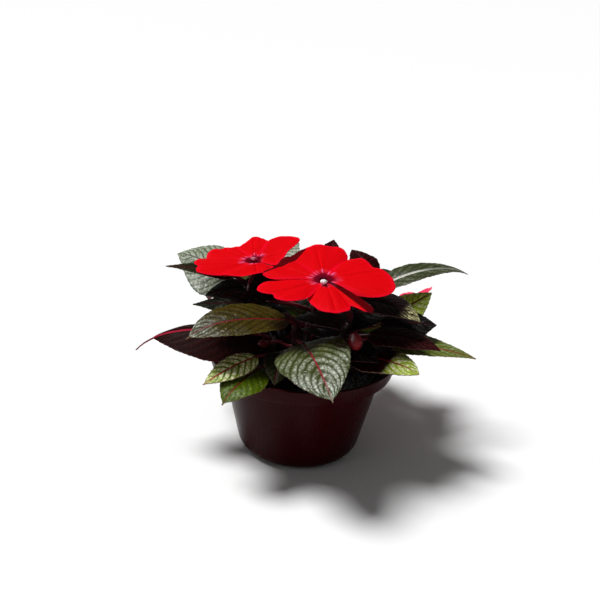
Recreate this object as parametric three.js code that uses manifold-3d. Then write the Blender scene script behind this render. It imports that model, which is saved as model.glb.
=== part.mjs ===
// A busy lizzie (a New Guinea impatiens) growing in a low plastic pot, in millimetres with +Z up.
// The origin is the centre of the pot's flat underside, and -Y is the plant's front.
//
// The pot holds a plug of soil, and six fleshy stems stand in plain holes in it. Each stem is one
// solid with the leaf stalks and the young tip leaves that grow from it. Each full leaf blade, each
// bud, and each bloom's petals, stalk and stamen column is a solid of its own, a small gap away from
// the piece that carries it.
import * as THREE from "three";
import { mergeVertices } from "three/addons/utils/BufferGeometryUtils.js";
import Module from "manifold-3d";

const wasm = await Module();
wasm.setup();

// ---------------------------------------------------------------- driving dimensions

const SEAM = 0.3; // gap between two pieces that touch in the real plant
const FOOT_GAP = 0.5; // gap from a stem's side to the foot of a bloom's stalk, whose edge stands nearer

const POT = {
  height: 59,
  rimRadius: 53.2,
  collarHeight: 9, // the flared band round the top
  collarFootRadius: 50.4,
  shoulderRadius: 44.9, // the body just under the band
  footRadius: 26.2, // the flat that the pot stands on
  cornerRadius: 8.9,
  cornerSteps: 3,
  wall: 1.4,
  sides: 36,
  drains: 4, // arched notches through the bottom corner
  drainSides: 14,
  firstDrainDeg: 242,
  drainWidth: 11,
  drainHeight: 3.4,
};

const SOIL = {
  edge: 49.6, // height at the pot's wall
  crown: 51.2, // mean height of the middle
  slopeShare: 0.82, // shares of the edge's radius: halfway up the slope, and two rings of the middle
  crownShares: [0.58, 0.3],
  sides: 22,
  lump: 0.9,
  lumpAcross: { pace: 0.31, shift: 1 }, // radians a millimetre, and radians
  lumpAway: { pace: 0.37, shift: 2 },
  holeSides: 10,
};

const STEM = { footRadius: 3.4, tipRadius: 2.1, sides: 6, steps: 5 };
const LEAF_STALK = { radius: 1.25, sides: 5, steps: 3, bend: 0.45 };

const BLADE = {
  thickness: 0.8,
  steps: 12,
  broad: 28, // a blade this wide has two strips on each side of its midrib, and a narrower one has one
  tooth: 0.55,
  baseHalfWidth: 1.3,
  tipHalfWidth: 0.35,
  swell: 0.6, // how fast the blade widens from its base
  taper: 1.15, // how fast it narrows to its point
  cup: 0.12, // how far the margins hang, as a share of the half width
  handles: [0.3, 0.75], // where along the blade its line's two handles stand
};
const SHOOT = {
  at: 0.985, // share of the way up the stem
  turnDeg: 137.5,
  length: 16,
  width: 7,
  shrink: 0.8, // from each young leaf to the next
  riseDeg: 42,
  stepUpDeg: 9,
  arch: [1.5, 2],
  fold: 20,
  steps: 4,
};

const PETAL = {
  thickness: 0.8,
  rows: 4,
  rootRadius: 1.9,
  rootSpread: 0.9, // share of the full spread that the petal has at its root
  fullSpreadAt: 0.8,
  cup: 0.06,
};
const THROAT = { radius: 4, footShare: 0.6, height: 2.4, rise: 0.7, sides: 8 }; // carries the petals
// The anthers' cap stands over the throat's rim by the gap.
const COLUMN = { radius: 1.6, height: 2.4, gap: 0.4, sides: 6, rings: 5 };
const BLOOM_STALK = { radius: 1.1, sides: 5, steps: 7, straight: 2, neck: 5 };
const SPUR = { rootRadius: 1.1, tipRadius: 0.5, sides: 5, steps: 6, drop: 2 };
const SEPAL = {
  length: 6.5,
  width: 4.2,
  thickness: 1.2,
  leanDeg: 25,
  out: 2.6, // from the bloom's axis
  drop: 1.9, // under the throat
  sides: 6,
  rings: 4,
};
const BUD = {
  stalkShare: 0.8, // its stalk's radius as a share of a bloom's
  neckRadius: 0.35,
  root: 0.5, // how far the bud reaches back over the end of its stalk
  belly: [0.12, 0.98], // the stretch of half a sine wave that its side follows
  bellyPower: 0.8,
  sides: 7,
  steps: 5,
};

// ---------------------------------------------------------------- colours

const material = (color, roughness) => new THREE.MeshStandardMaterial({ color, roughness, metalness: 0 });
const MATERIALS = {
  pot: material(0x3a0a12, 0.3),
  soil: material(0x1c130d, 1),
  stem: material(0x5a1a1c, 0.5),
  leaf: material(0x2c3d16, 0.4),
  youngLeaf: material(0x5c8a1c, 0.35),
  petal: material(0xe3000f, 0.55),
  stalk: material(0x7a1c22, 0.5),
  column: material(0xf1e6ee, 0.6),
};

// ---------------------------------------------------------------- solids and small helpers

const vec = ([x, y, z]) => new THREE.Vector3(x, y, z);
const radians = THREE.MathUtils.degToRad;

function solidOf(geometry) {
  const bare = geometry.clone();
  bare.deleteAttribute("normal");
  bare.deleteAttribute("uv");
  const merged = mergeVertices(bare, 1e-4);
  const vertProperties = new Float32Array(merged.attributes.position.array);
  const triVerts = new Uint32Array(merged.index.array);
  return new wasm.Manifold(new wasm.Mesh({ numProp: 3, vertProperties, triVerts }));
}

function geometryOf(solid) {
  const { numProp, numVert, vertProperties, triVerts } = solid.getMesh();
  const positions = new Float32Array(numVert * 3);
  for (let i = 0; i < numVert; i++) {
    positions.set(vertProperties.subarray(i * numProp, i * numProp + 3), i * 3);
  }
  return new THREE.BufferGeometry()
    .setAttribute("position", new THREE.BufferAttribute(positions, 3))
    .setIndex(new THREE.BufferAttribute(triVerts, 1));
}

const plant = new THREE.Group();

function addPiece(name, solid, finish) {
  const geometry = geometryOf(solid);
  geometry.computeVertexNormals();
  const mesh = new THREE.Mesh(geometry, finish);
  mesh.name = name;
  plant.add(mesh);
}

// A closed skin over two facing grids of points: front[i][j] over back[i][j], split alike on both.
function slabBetween(front, back) {
  const rows = front.length;
  const columns = front[0].length;
  const [end, right] = [rows - 1, columns - 1];
  const points = [...front.flat(), ...back.flat()];
  const at = (i, j, side) => side * rows * columns + i * columns + j;
  const index = [];
  const quad = (a, b, c, d) => index.push(a, b, c, a, c, d);
  for (let i = 0; i + 1 < rows; i++) {
    for (let j = 0; j + 1 < columns; j++) {
      quad(at(i, j, 0), at(i + 1, j, 0), at(i + 1, j + 1, 0), at(i, j + 1, 0));
      index.push(at(i, j, 1), at(i + 1, j + 1, 1), at(i + 1, j, 1));
      index.push(at(i, j, 1), at(i, j + 1, 1), at(i + 1, j + 1, 1));
    }
    quad(at(i, 0, 1), at(i + 1, 0, 1), at(i + 1, 0, 0), at(i, 0, 0));
    quad(at(i, right, 0), at(i + 1, right, 0), at(i + 1, right, 1), at(i, right, 1));
  }
  for (let j = 0; j + 1 < columns; j++) {
    quad(at(0, j, 0), at(0, j + 1, 0), at(0, j + 1, 1), at(0, j, 1));
    quad(at(end, j, 1), at(end, j + 1, 1), at(end, j + 1, 0), at(end, j, 0));
  }
  const geometry = new THREE.BufferGeometry().setFromPoints(points).setIndex(index);
  const solid = solidOf(geometry);
  if (solid.volume() > 0) return solid;
  for (let k = 0; k < index.length; k += 3) [index[k], index[k + 1]] = [index[k + 1], index[k]];
  return solidOf(geometry.setIndex(index));
}

// A round bar along a curve, its radius a function of the share of the way along, with flat ends.
function barAlong(curve, radiusAt, sides, steps) {
  const { normals, binormals } = curve.computeFrenetFrames(steps, false);
  const points = [];
  const index = [];
  for (let i = 0; i <= steps; i++) {
    const centre = curve.getPointAt(i / steps);
    for (let k = 0; k < sides; k++) {
      const turn = (k / sides) * 2 * Math.PI;
      const radius = radiusAt(i / steps);
      points.push(
        centre
          .clone()
          .addScaledVector(normals[i], radius * Math.cos(turn))
          .addScaledVector(binormals[i], radius * Math.sin(turn)),
      );
    }
  }
  for (let i = 0; i < steps; i++) {
    for (let k = 0; k < sides; k++) {
      const a = i * sides + k;
      const b = i * sides + ((k + 1) % sides);
      index.push(a, b, b + sides, a, b + sides, a + sides);
    }
  }
  const last = steps * sides;
  for (let k = 1; k + 1 < sides; k++) {
    index.push(0, k + 1, k);
    index.push(last, last + k, last + k + 1);
  }
  return solidOf(new THREE.BufferGeometry().setFromPoints(points).setIndex(index));
}

const smoothCurve = (points) => new THREE.CatmullRomCurve3(points, false, "centripetal");
const union = (solids) => solids.reduce((all, one) => all.add(one));

// ---------------------------------------------------------------- pot

// The pot's outside, from the foot to the shoulder: a round corner that runs into the leaning wall.
function bodyProfile(inset) {
  const radius = POT.cornerRadius - inset;
  const shoulder = POT.height - POT.collarHeight;
  const rise = shoulder - POT.cornerRadius;
  const lean = Math.atan2(POT.shoulderRadius - POT.footRadius - POT.cornerRadius, rise);
  const points = [new THREE.Vector2(0, inset)];
  for (let i = 0; i <= POT.cornerSteps; i++) {
    const turn = -Math.PI / 2 + (i / POT.cornerSteps) * (Math.PI / 2 - lean);
    const [out, up] = [radius * Math.cos(turn), radius * Math.sin(turn)];
    points.push(new THREE.Vector2(POT.footRadius + out, POT.cornerRadius + up));
  }
  return points;
}

const turned = (points, sides) => solidOf(new THREE.LatheGeometry(points, sides).rotateX(Math.PI / 2));

function makePot() {
  const { height, collarHeight, rimRadius, collarFootRadius, shoulderRadius, wall } = POT;
  const ledge = height - collarHeight;
  const outside = [
    ...bodyProfile(0),
    new THREE.Vector2(shoulderRadius, ledge),
    new THREE.Vector2(collarFootRadius, ledge),
    new THREE.Vector2(rimRadius, height - wall / 2),
    new THREE.Vector2(rimRadius - wall / 2, height),
  ];
  const inside = [
    ...bodyProfile(wall),
    new THREE.Vector2(shoulderRadius - wall, ledge + wall),
    new THREE.Vector2(collarFootRadius - wall, ledge + wall),
    new THREE.Vector2(rimRadius - 1.6 * wall, height),
  ];
  const shell = turned([...outside, ...inside.reverse()], POT.sides);
  const notch = new THREE.CylinderGeometry(1, 1, POT.footRadius, POT.drainSides)
    .rotateZ(Math.PI / 2)
    .scale(1, POT.drainWidth / 2, POT.drainHeight)
    .translate(POT.footRadius + POT.cornerRadius, 0, 0);
  const notches = Array.from({ length: POT.drains }, (_, i) =>
    solidOf(notch.clone().rotateZ(radians(POT.firstDrainDeg) + (i / POT.drains) * 2 * Math.PI)),
  );
  return shell.subtract(union(notches));
}

// ---------------------------------------------------------------- stems

const STEMS = {
  front: [[-2, -12, 43], [-3, -15, 58], [-4, -19, 72], [-5, -22, 84]],
  left: [[-13, -3, 43], [-18, -2, 58], [-23, 0, 72], [-27, 3, 84]],
  right: [[13, -5, 43], [17, -7, 58], [21, -9, 71], [24, -11, 83]],
  middle: [[1, 3, 43], [2, 5, 62], [4, 6, 80], [6, 7, 95]],
  back_left: [[-10, 13, 43], [-14, 18, 60], [-18, 23, 76], [-21, 26, 88]],
  back_right: [[11, 13, 43], [16, 17, 60], [21, 20, 75], [26, 22, 88]],
};
const stemCurves = Object.fromEntries(
  Object.entries(STEMS).map(([name, points]) => [name, smoothCurve(points.map(vec))]),
);
// For each stem, the bearing of its first young leaf, how many there are, and their size as a share.
const SHOOTS = {
  front: [200, 2, 0.6],
  left: [0, 0, 1],
  right: [120, 2, 0.8],
  middle: [190, 2, 0.8],
  back_left: [150, 3, 1],
  back_right: [60, 2, 1],
};
const stemRadius = (share) => THREE.MathUtils.lerp(STEM.footRadius, STEM.tipRadius, share);

// ---------------------------------------------------------------- soil

// A plug that fills the pot's body nearly to its shoulder, with a plain hole for each stem.
function makeSoil() {
  const gap = POT.wall + SEAM;
  const edgeRadius = POT.shoulderRadius - gap - 2 * SEAM; // a seam less, as the wall leans in below
  const profile = [
    ...bodyProfile(gap),
    new THREE.Vector2(edgeRadius, SOIL.edge),
    new THREE.Vector2(edgeRadius * SOIL.slopeShare, (SOIL.edge + SOIL.crown) / 2),
    ...SOIL.crownShares.map((share) => new THREE.Vector2(edgeRadius * share, SOIL.crown)),
    new THREE.Vector2(0, SOIL.crown),
  ];
  const plug = new THREE.LatheGeometry(profile, SOIL.sides).rotateX(Math.PI / 2);
  const place = plug.getAttribute("position");
  const wave = (distance, { pace, shift }) => Math.sin(distance * pace + shift);
  for (let i = 0; i < place.count; i++) {
    const [x, y, z] = [place.getX(i), place.getY(i), place.getZ(i)];
    if (z <= SOIL.edge) continue;
    place.setZ(i, z + SOIL.lump * wave(x, SOIL.lumpAcross) * wave(y, SOIL.lumpAway));
  }
  const holes = Object.values(STEMS).map((points) => {
    const [foot, next] = points.map(vec);
    const way = next.clone().sub(foot).normalize();
    const line = new THREE.LineCurve3(foot.clone().addScaledVector(way, -SEAM), next);
    return barAlong(line, () => STEM.footRadius + 2 * SEAM, SOIL.holeSides, 1);
  });
  return solidOf(plug).subtract(union(holes));
}

// ---------------------------------------------------------------- leaves

// stem, at: the stem that carries the leaf, and how far up it, as a share.
// base, tip: the ends of the blade. arch: how far the midrib's two handles stand off the straight line.
// width: the whole blade's, at its widest. roll: the blade's turn about its own line, in degrees.
// fold: how far each half is raised from the midrib, in degrees. taper: a sharper or blunter point than
// most have. tail: the share of the length at the tip that is drawn out thin.
const LEAVES = {
  leaf_front: {
    stem: "front", at: 0.75, base: [-0.5, -28, 74.5], tip: [15.5, -80, 69],
    arch: [9, 11], width: 38, roll: 16, fold: 8, taper: 0.85, tail: 0.03,
  },
  leaf_front_left_upper: {
    stem: "front", at: 0.95, base: [-9, -27, 87], tip: [-59, -43, 80],
    arch: [6, 11], width: 28, roll: -12, fold: 8, taper: 0.8, tail: 0.04,
  },
  leaf_front_left_low: {
    stem: "front", at: 0.45, base: [-24, -34, 68.5], tip: [-49, -53, 60],
    arch: [3, 2], width: 16, roll: -14, fold: 0, taper: 1, tail: 0.04, young: true,
  },
  leaf_front_left_lowest: {
    stem: "front", at: 0.25, base: [-22, -37, 63.5], tip: [-38.5, -60, 53],
    arch: [3, 5], width: 24, roll: -6, fold: 4, taper: 1, tail: 0.04, young: true,
  },
  leaf_front_small: {
    stem: "front", at: 0.35, base: [-12, -32, 70], tip: [-13.5, -50, 61],
    arch: [4, 3], width: 16, roll: -10, fold: 8,
  },
  leaf_left_long: {
    stem: "left", at: 0.5, base: [-23, -10, 70], tip: [-91.5, -12, 57.4],
    arch: [8.5, 17], width: 36, roll: -14, fold: -20, taper: 0.9, tail: 0.19,
  },
  leaf_left_upper: {
    stem: "middle", at: 0.7, base: [-19, -8.5, 89.5], tip: [-59, -22, 90.5],
    arch: [1, 0], width: 23.5, roll: -18, fold: -4, taper: 1.5,
  },
  leaf_left_inner: {
    stem: "left", at: 0.75, base: [-33, 10, 89.5], tip: [-56, 4, 85.5],
    arch: [2, 2], width: 21.5, roll: -10, fold: 4,
  },
  leaf_left_narrow: {
    stem: "back_left", at: 0.85, base: [-42, 11, 95.5], tip: [-78, 5, 101],
    arch: [3.5, 1.5], width: 13, roll: -16, fold: 6, taper: 1.6,
  },
  leaf_left_back: {
    stem: "back_left", at: 0.8, base: [-41, 20, 92.3], tip: [-76, 32, 99.3],
    arch: [4, 8], width: 35.5, roll: -38, fold: -18,
  },
  leaf_back_tall: {
    stem: "back_left", at: 0.97, base: [-20, 34, 96], tip: [-6.5, 44, 106.5],
    arch: [3, 2], width: 20, roll: 20, fold: 8,
  },
  leaf_back_middle: {
    stem: "middle", at: 0.95, base: [9, 12, 101], tip: [13.5, 32, 113.5],
    arch: [2, 2], width: 14, roll: 0, fold: 10,
  },
  leaf_back_upper: {
    stem: "back_right", at: 0.97, base: [34, 12, 97], tip: [24, 28, 109.5],
    arch: [6, 4], width: 19, roll: 0, fold: 10,
  },
  leaf_right_back: {
    stem: "back_right", at: 0.9, base: [38, 16, 90], tip: [91.5, 30, 98.6],
    arch: [10, 11], width: 18.5, roll: 10, fold: 10, taper: 1.3,
  },
  leaf_right_bright: {
    stem: "back_right", at: 0.7, base: [46.5, 4, 79.5], tip: [71, 22, 88.8],
    arch: [1, 1], width: 19.5, roll: 30, fold: -12, young: true,
  },
  leaf_right_top: {
    stem: "right", at: 0.98, base: [26, -9.5, 93], tip: [59.5, -26, 90],
    arch: [6, 6], width: 27.5, roll: 4, fold: 6,
  },
  leaf_right_upper: {
    stem: "back_right", at: 0.55, base: [41, -6.5, 79.5], tip: [71, -8, 81.5],
    arch: [3, 2], width: 26, roll: 18, fold: -4,
  },
  leaf_right_long: {
    stem: "right", at: 0.55, base: [36, -3, 69.5], tip: [92, -20, 68.6],
    arch: [3, 3], width: 23.5, roll: 10, fold: 6, taper: 1.3,
  },
  leaf_right_mid: {
    stem: "right", at: 0.75, base: [34, -17, 77.5], tip: [71, -30, 76.5],
    arch: [4, 4], width: 21, roll: 10, fold: 4,
  },
  leaf_right_low: {
    stem: "right", at: 0.3, base: [25, -21, 67], tip: [59.5, -42, 68],
    arch: [3, 5], width: 25, roll: 12, fold: 4, taper: 0.9, young: true,
  },
  leaf_inner_front: {
    stem: "front", at: 0.9, base: [2, -21, 87.5], tip: [18, -45, 90.5],
    arch: [3, 3], width: 26, roll: 0, fold: 6,
  },
  leaf_inner_left: {
    stem: "middle", at: 0.4, base: [-7, -3, 79], tip: [-38, -14, 84],
    arch: [3, 3], width: 20, roll: -10, fold: 6,
  },
  leaf_inner_right: {
    stem: "right", at: 0.45, base: [17, -18, 69], tip: [38, -42, 73],
    arch: [3, 3], width: 24, roll: 10, fold: 6,
  },
  leaf_inner_middle: {
    stem: "middle", at: 0.35, base: [8, -4, 73], tip: [11, -26, 77],
    arch: [3, 3], width: 20, roll: 0, fold: 6,
  },
  leaf_inner_back: {
    stem: "middle", at: 0.75, base: [12, 0, 92], tip: [26, -12, 98],
    arch: [3, 3], width: 20, roll: 0, fold: 6,
  },
  leaf_inner_shaded: {
    stem: "middle", at: 0.8, base: [-4, 10, 94], tip: [-34, 8.5, 93.5],
    arch: [1, 1], width: 22, roll: -8, fold: 4,
  },
  leaf_inner_deep: {
    stem: "middle", at: 0.5, base: [9, 6, 77], tip: [44, 1, 83.5],
    arch: [3, 2], width: 23, roll: 14, fold: 4,
  },
  leaf_back_1: {
    stem: "back_left", at: 0.5, base: [-20, 37, 78], tip: [-42, 90, 70],
    arch: [8, 11], width: 31, roll: 0, fold: 8,
  },
  leaf_back_2: {
    stem: "back_left", at: 0.7, base: [-35, 29, 74], tip: [-62, 66, 58],
    arch: [7, 10], width: 30, roll: 0, fold: 8,
  },
  leaf_back_3: {
    stem: "left", at: 0.3, base: [-30, 18, 64], tip: [-63, 40, 51],
    arch: [5, 9], width: 27.5, roll: 0, fold: 8, young: true,
  },
  leaf_back_4: {
    stem: "back_left", at: 0.9, base: [-14, 38, 86], tip: [-20, 84, 81],
    arch: [7, 9], width: 27.5, roll: 0, fold: 8,
  },
  leaf_back_5: {
    stem: "back_right", at: 0.45, base: [18, 36, 70], tip: [22, 90, 62],
    arch: [8, 12], width: 33, roll: 0, fold: 8,
  },
  leaf_back_6: {
    stem: "back_right", at: 0.75, base: [26, 40, 78], tip: [33, 88, 73],
    arch: [7, 9], width: 29, roll: 0, fold: 8,
  },
  leaf_back_7: {
    stem: "back_right", at: 0.3, base: [32, 20, 64], tip: [76, 36, 52],
    arch: [6, 9], width: 27.5, roll: 0, fold: 8, young: true,
  },
  leaf_back_8: {
    stem: "middle", at: 0.7, base: [4, 27, 87], tip: [9, 78, 86],
    arch: [7, 9], width: 27, roll: 0, fold: 8,
  },
  leaf_back_9: {
    stem: "back_left", at: 0.25, base: [-4, 32, 62], tip: [-4, 76, 58],
    arch: [6, 9], width: 26, roll: 0, fold: 8, young: true,
  },
  leaf_back_10: {
    stem: "back_right", at: 0.88, base: [32, 29, 89], tip: [47, 66, 84],
    arch: [5, 7], width: 26, roll: 0, fold: 8,
  },
};

// Half the blade's width at a share of its length: a round base and a long tapering point.
function halfWidthAt(u, { width, taper = BLADE.taper, tail = 0 }) {
  const share = Math.min(1, u / (1 - tail));
  const peak = BLADE.swell / (BLADE.swell + taper);
  const peakValue = peak ** BLADE.swell * (1 - peak) ** taper;
  const ends = THREE.MathUtils.lerp(BLADE.baseHalfWidth, BLADE.tipHalfWidth, u);
  return ends + ((width / 2 - ends) * share ** BLADE.swell * (1 - share) ** taper) / peakValue;
}

// The blade's line from base to tip, and the direction that its upper face looks in.
function bladeLine({ base, tip, arch, roll }) {
  const [start, end] = [vec(base), vec(tip)];
  const chord = end.clone().sub(start);
  const along = chord.clone().normalize();
  const up = new THREE.Vector3(0, 0, 1).projectOnPlane(along).normalize();
  up.applyAxisAngle(along, radians(roll));
  const [near, far] = BLADE.handles.map((share, k) =>
    start.clone().addScaledVector(chord, share).addScaledVector(up, arch[k]),
  );
  return { curve: new THREE.CubicBezierCurve3(start, near, far, end), up };
}

// How far the margin stands out at step i: a tooth and a smaller cut by turns, and none at the ends.
function toothAt(i, steps) {
  if (i === 0 || i === steps) return 0;
  return i % 2 ? BLADE.tooth : -BLADE.tooth / 2;
}

function makeBlade(leaf, steps = BLADE.steps) {
  const { curve, up } = bladeLine(leaf);
  const across = leaf.width < BLADE.broad ? [-1, 0, 1] : [-1, -0.5, 0, 0.5, 1];
  const fold = radians(leaf.fold);
  const front = [];
  const back = [];
  for (let i = 0; i <= steps; i++) {
    const u = i / steps;
    const tangent = curve.getTangent(u);
    const normal = up.clone().projectOnPlane(tangent).normalize();
    const side = new THREE.Vector3().crossVectors(normal, tangent);
    const halfWidth = halfWidthAt(u, leaf);
    const row = across.map((v) => {
      const reach = v * (halfWidth + (Math.abs(v) === 1 ? toothAt(i, steps) : 0)) * Math.cos(fold);
      const lift = halfWidth * (Math.abs(v) * Math.sin(fold) - BLADE.cup * v * v);
      return curve.getPoint(u).addScaledVector(side, reach).addScaledVector(normal, lift);
    });
    front.push(row.map((p) => p.clone().addScaledVector(normal, BLADE.thickness / 2)));
    back.push(row.map((p) => p.clone().addScaledVector(normal, -BLADE.thickness / 2)));
  }
  return slabBetween(front, back);
}

// The stalk that runs from the middle of the stem to just short of the blade's base, in line with it.
function makeLeafStalk(leaf) {
  const { curve } = bladeLine(leaf);
  const root = stemCurves[leaf.stem].getPointAt(leaf.at);
  const heading = curve.getTangent(0);
  const end = vec(leaf.base).addScaledVector(heading, -SEAM);
  const bend = end.clone().addScaledVector(heading, -LEAF_STALK.bend * end.distanceTo(root));
  const line = new THREE.QuadraticBezierCurve3(root, bend, end);
  return barAlong(line, () => LEAF_STALK.radius, LEAF_STALK.sides, LEAF_STALK.steps);
}

// The young leaves round a stem's tip, each a set turn on from the last and a little smaller.
function shootLeaves(name) {
  const base = stemCurves[name].getPointAt(SHOOT.at);
  const [firstTurn, count, size] = SHOOTS[name];
  return Array.from({ length: count }, (_, i) => {
    const shrunk = size * SHOOT.shrink ** i;
    const fromUp = radians(90 - SHOOT.riseDeg - i * SHOOT.stepUpDeg);
    const way = new THREE.Vector3(Math.sin(fromUp), 0, Math.cos(fromUp));
    way.applyAxisAngle(new THREE.Vector3(0, 0, 1), radians(firstTurn + i * SHOOT.turnDeg));
    const leaf = {
      base: base.toArray(),
      tip: base.clone().addScaledVector(way, SHOOT.length * shrunk).toArray(),
      arch: SHOOT.arch,
      width: SHOOT.width * shrunk,
      roll: 0,
      fold: SHOOT.fold,
    };
    return makeBlade(leaf, SHOOT.steps);
  });
}

// ---------------------------------------------------------------- blooms

// centre: the throat, where the petals meet. tilt, heading: how far the face leans, and which way.
// capForward: how far the anthers' cap hangs out over the throat's lower lip.
// Each petal: turn from the bloom's right, half its spread in degrees, reach: how far its end stands out
// at seven even steps from one corner to the other, lift: its slope at each of those two corners, and
// droop: how far its end falls.
const BLOOMS = {
  bloom_front: {
    centre: [8, -26, 110],
    tilt: 8,
    heading: -90,
    capForward: 6,
    stalk: {
      stem: "right",
      at: 0.93,
      leaves: [-1, -0.6, 0.2],
      waypoint: [14, -19, 94],
      spur: [[9, -18, 103], [12, -10, 100], [17, -3, 102]],
    },
    petals: [
      { turn: 18, spread: 50, reach: [22, 35, 36, 33.5, 31, 31.5, 26], lift: [0.04, 0.1], droop: 3 },
      { turn: 98, spread: 36, reach: [29, 35.5, 36, 36, 33.5, 31, 31], lift: [0.06, 0.04], droop: 2 },
      { turn: 155, spread: 29, reach: [31, 30, 28, 27.5, 28, 31.5, 26], lift: [0.02, 0], droop: 1 },
      { turn: 215, spread: 36, reach: [25, 32, 35, 31, 30, 23.5, 15], lift: [-0.04, -0.04], droop: 1.5 },
      { turn: 285, spread: 46, reach: [15.5, 20, 25.5, 28, 25.5, 34, 26], lift: [-0.04, -0.04], droop: 3.5 },
    ],
  },
  bloom_back: {
    centre: [-30, 8, 106],
    tilt: -3,
    heading: -90,
    capForward: 3,
    stalk: {
      stem: "left",
      at: 0.95,
      leaves: [-1, -0.1, 0.2],
      waypoint: [-32, 1, 94],
      spur: [[-30, 16, 98], [-29, 25, 93], [-27, 32, 92]],
    },
    petals: [
      { turn: 24, spread: 50, reach: [14, 14.5, 17, 20.5, 31.5, 28, 20], lift: [0, 0.36], droop: 0 },
      { turn: 96, spread: 30, reach: [20, 23.5, 26, 28, 24, 21.5, 21], lift: [0.34, 0.16], droop: 2 },
      { turn: 140, spread: 36, reach: [24, 23.5, 24, 26.5, 29, 28, 26], lift: [0.16, -0.02], droop: 2 },
      { turn: 203, spread: 42, reach: [29, 31.5, 32.5, 32.5, 34.5, 27, 21], lift: [-0.02, -0.08], droop: 2 },
      { turn: 280, spread: 52, reach: [26, 26.5, 24.5, 21, 19, 15, 13], lift: [-0.08, 0], droop: 1 },
    ],
  },
  bloom_side: {
    centre: [62, 49, 72.8],
    tilt: 26,
    heading: 128,
    capForward: 2,
    stalk: {
      stem: "back_right",
      at: 0.64,
      leaves: [0.4, 1, 0.1],
      waypoint: [42, 37, 71],
      spur: [[60, 42, 67.5], [56, 38, 66.5], [52, 35, 67]],
    },
    petals: [
      { turn: 20, spread: 37, reach: [11, 14.5, 16, 15.2, 16, 14.5, 11], lift: [0.3, 0.3], droop: 1 },
      { turn: 92, spread: 37, reach: [10.5, 14, 15.5, 15, 15.5, 14, 10.5], lift: [0.3, 0.3], droop: 0 },
      { turn: 164, spread: 37, reach: [10, 13.5, 15, 14.4, 15, 13.5, 10], lift: [0.3, 0.3], droop: 1 },
      { turn: 234, spread: 37, reach: [9.5, 13, 14.5, 12.6, 14.5, 13, 9.5], lift: [0.2, 0.2], droop: 1 },
      { turn: 306, spread: 37, reach: [9.5, 13, 14.5, 12.6, 14.5, 13, 9.5], lift: [0.2, 0.2], droop: 1 },
    ],
  },
};

function bloomFrame({ centre, tilt, heading }) {
  const normal = new THREE.Vector3(Math.sin(radians(tilt)), 0, Math.cos(radians(tilt)));
  normal.applyAxisAngle(new THREE.Vector3(0, 0, 1), radians(heading));
  const right = new THREE.Vector3(1, 0, 0).projectOnPlane(normal).normalize();
  const away = new THREE.Vector3().crossVectors(normal, right);
  return { centre: vec(centre), normal, right, away };
}

// How much of its full spread a petal has, at a share of the way from its root to its end.
function spreadAt(share) {
  const opened = Math.sin(Math.min(1, share / PETAL.fullSpreadAt) * Math.PI * 0.5);
  return THREE.MathUtils.lerp(PETAL.rootSpread, 1, opened);
}

function makePetal(frame, petal) {
  const front = [];
  const back = [];
  for (let i = 0; i <= PETAL.rows; i++) {
    const share = i / PETAL.rows;
    const row = petal.reach.map((end, k) => {
      const v = (2 * k) / (petal.reach.length - 1) - 1;
      const reach = THREE.MathUtils.lerp(PETAL.rootRadius, end, share);
      const turn = radians(petal.turn + v * petal.spread * spreadAt(share));
      const slope = THREE.MathUtils.lerp(...petal.lift, (v + 1) / 2) + PETAL.cup * (1 - v * v);
      const height = slope * reach - petal.droop * share ** 2;
      return frame.centre
        .clone()
        .addScaledVector(frame.right, reach * Math.cos(turn))
        .addScaledVector(frame.away, reach * Math.sin(turn))
        .addScaledVector(frame.normal, height);
    });
    front.push(row.map((p) => p.clone().addScaledVector(frame.normal, PETAL.thickness / 2)));
    back.push(row.map((p) => p.clone().addScaledVector(frame.normal, -PETAL.thickness / 2)));
  }
  return slabBetween(front, back);
}

// Moves a geometry made about the origin, with +Z as the bloom's axis, to the bloom's place.
function aboutAxis({ right, away, normal, centre }, geometry) {
  const turn = new THREE.Matrix4().makeBasis(right, away, normal).setPosition(centre);
  return solidOf(geometry.applyMatrix4(turn));
}

function makeCorolla(frame, bloom) {
  const { radius, footShare, height, rise, sides } = THROAT;
  const disc = new THREE.CylinderGeometry(radius, radius * footShare, height, sides)
    .rotateX(Math.PI / 2)
    .translate(0, 0, rise - height / 2);
  return union([aboutAxis(frame, disc), ...bloom.petals.map((petal) => makePetal(frame, petal))]);
}

function makeColumn(frame, forward) {
  const ball = new THREE.SphereGeometry(1, COLUMN.sides, COLUMN.rings)
    .rotateX(Math.PI / 2)
    .scale(COLUMN.radius, COLUMN.radius, COLUMN.height / 2)
    .translate(0, -forward, THROAT.rise + COLUMN.gap + COLUMN.height / 2);
  return aboutAxis(frame, ball);
}

// A thin stalk of a bloom or a bud: it leaves its stem's side squarely and runs through the points.
function stalkFromStem({ stem, at, leaves }, points, radius) {
  const outward = vec(leaves).normalize();
  const foot = stemCurves[stem].getPointAt(at).addScaledVector(outward, stemRadius(at) + FOOT_GAP);
  const start = foot.clone().addScaledVector(outward, BLOOM_STALK.straight);
  const line = smoothCurve([foot, start, ...points]);
  return barAlong(line, () => radius, BLOOM_STALK.sides, BLOOM_STALK.steps);
}

function makeSepal(frame, side, height) {
  const shape = new THREE.SphereGeometry(1, SEPAL.sides, SEPAL.rings)
    .scale(SEPAL.length / 2, SEPAL.width / 2, SEPAL.thickness / 2)
    .rotateY(side * radians(SEPAL.leanDeg))
    .translate(side * SEPAL.out, 0, height);
  return aboutAxis(frame, shape);
}

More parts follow.
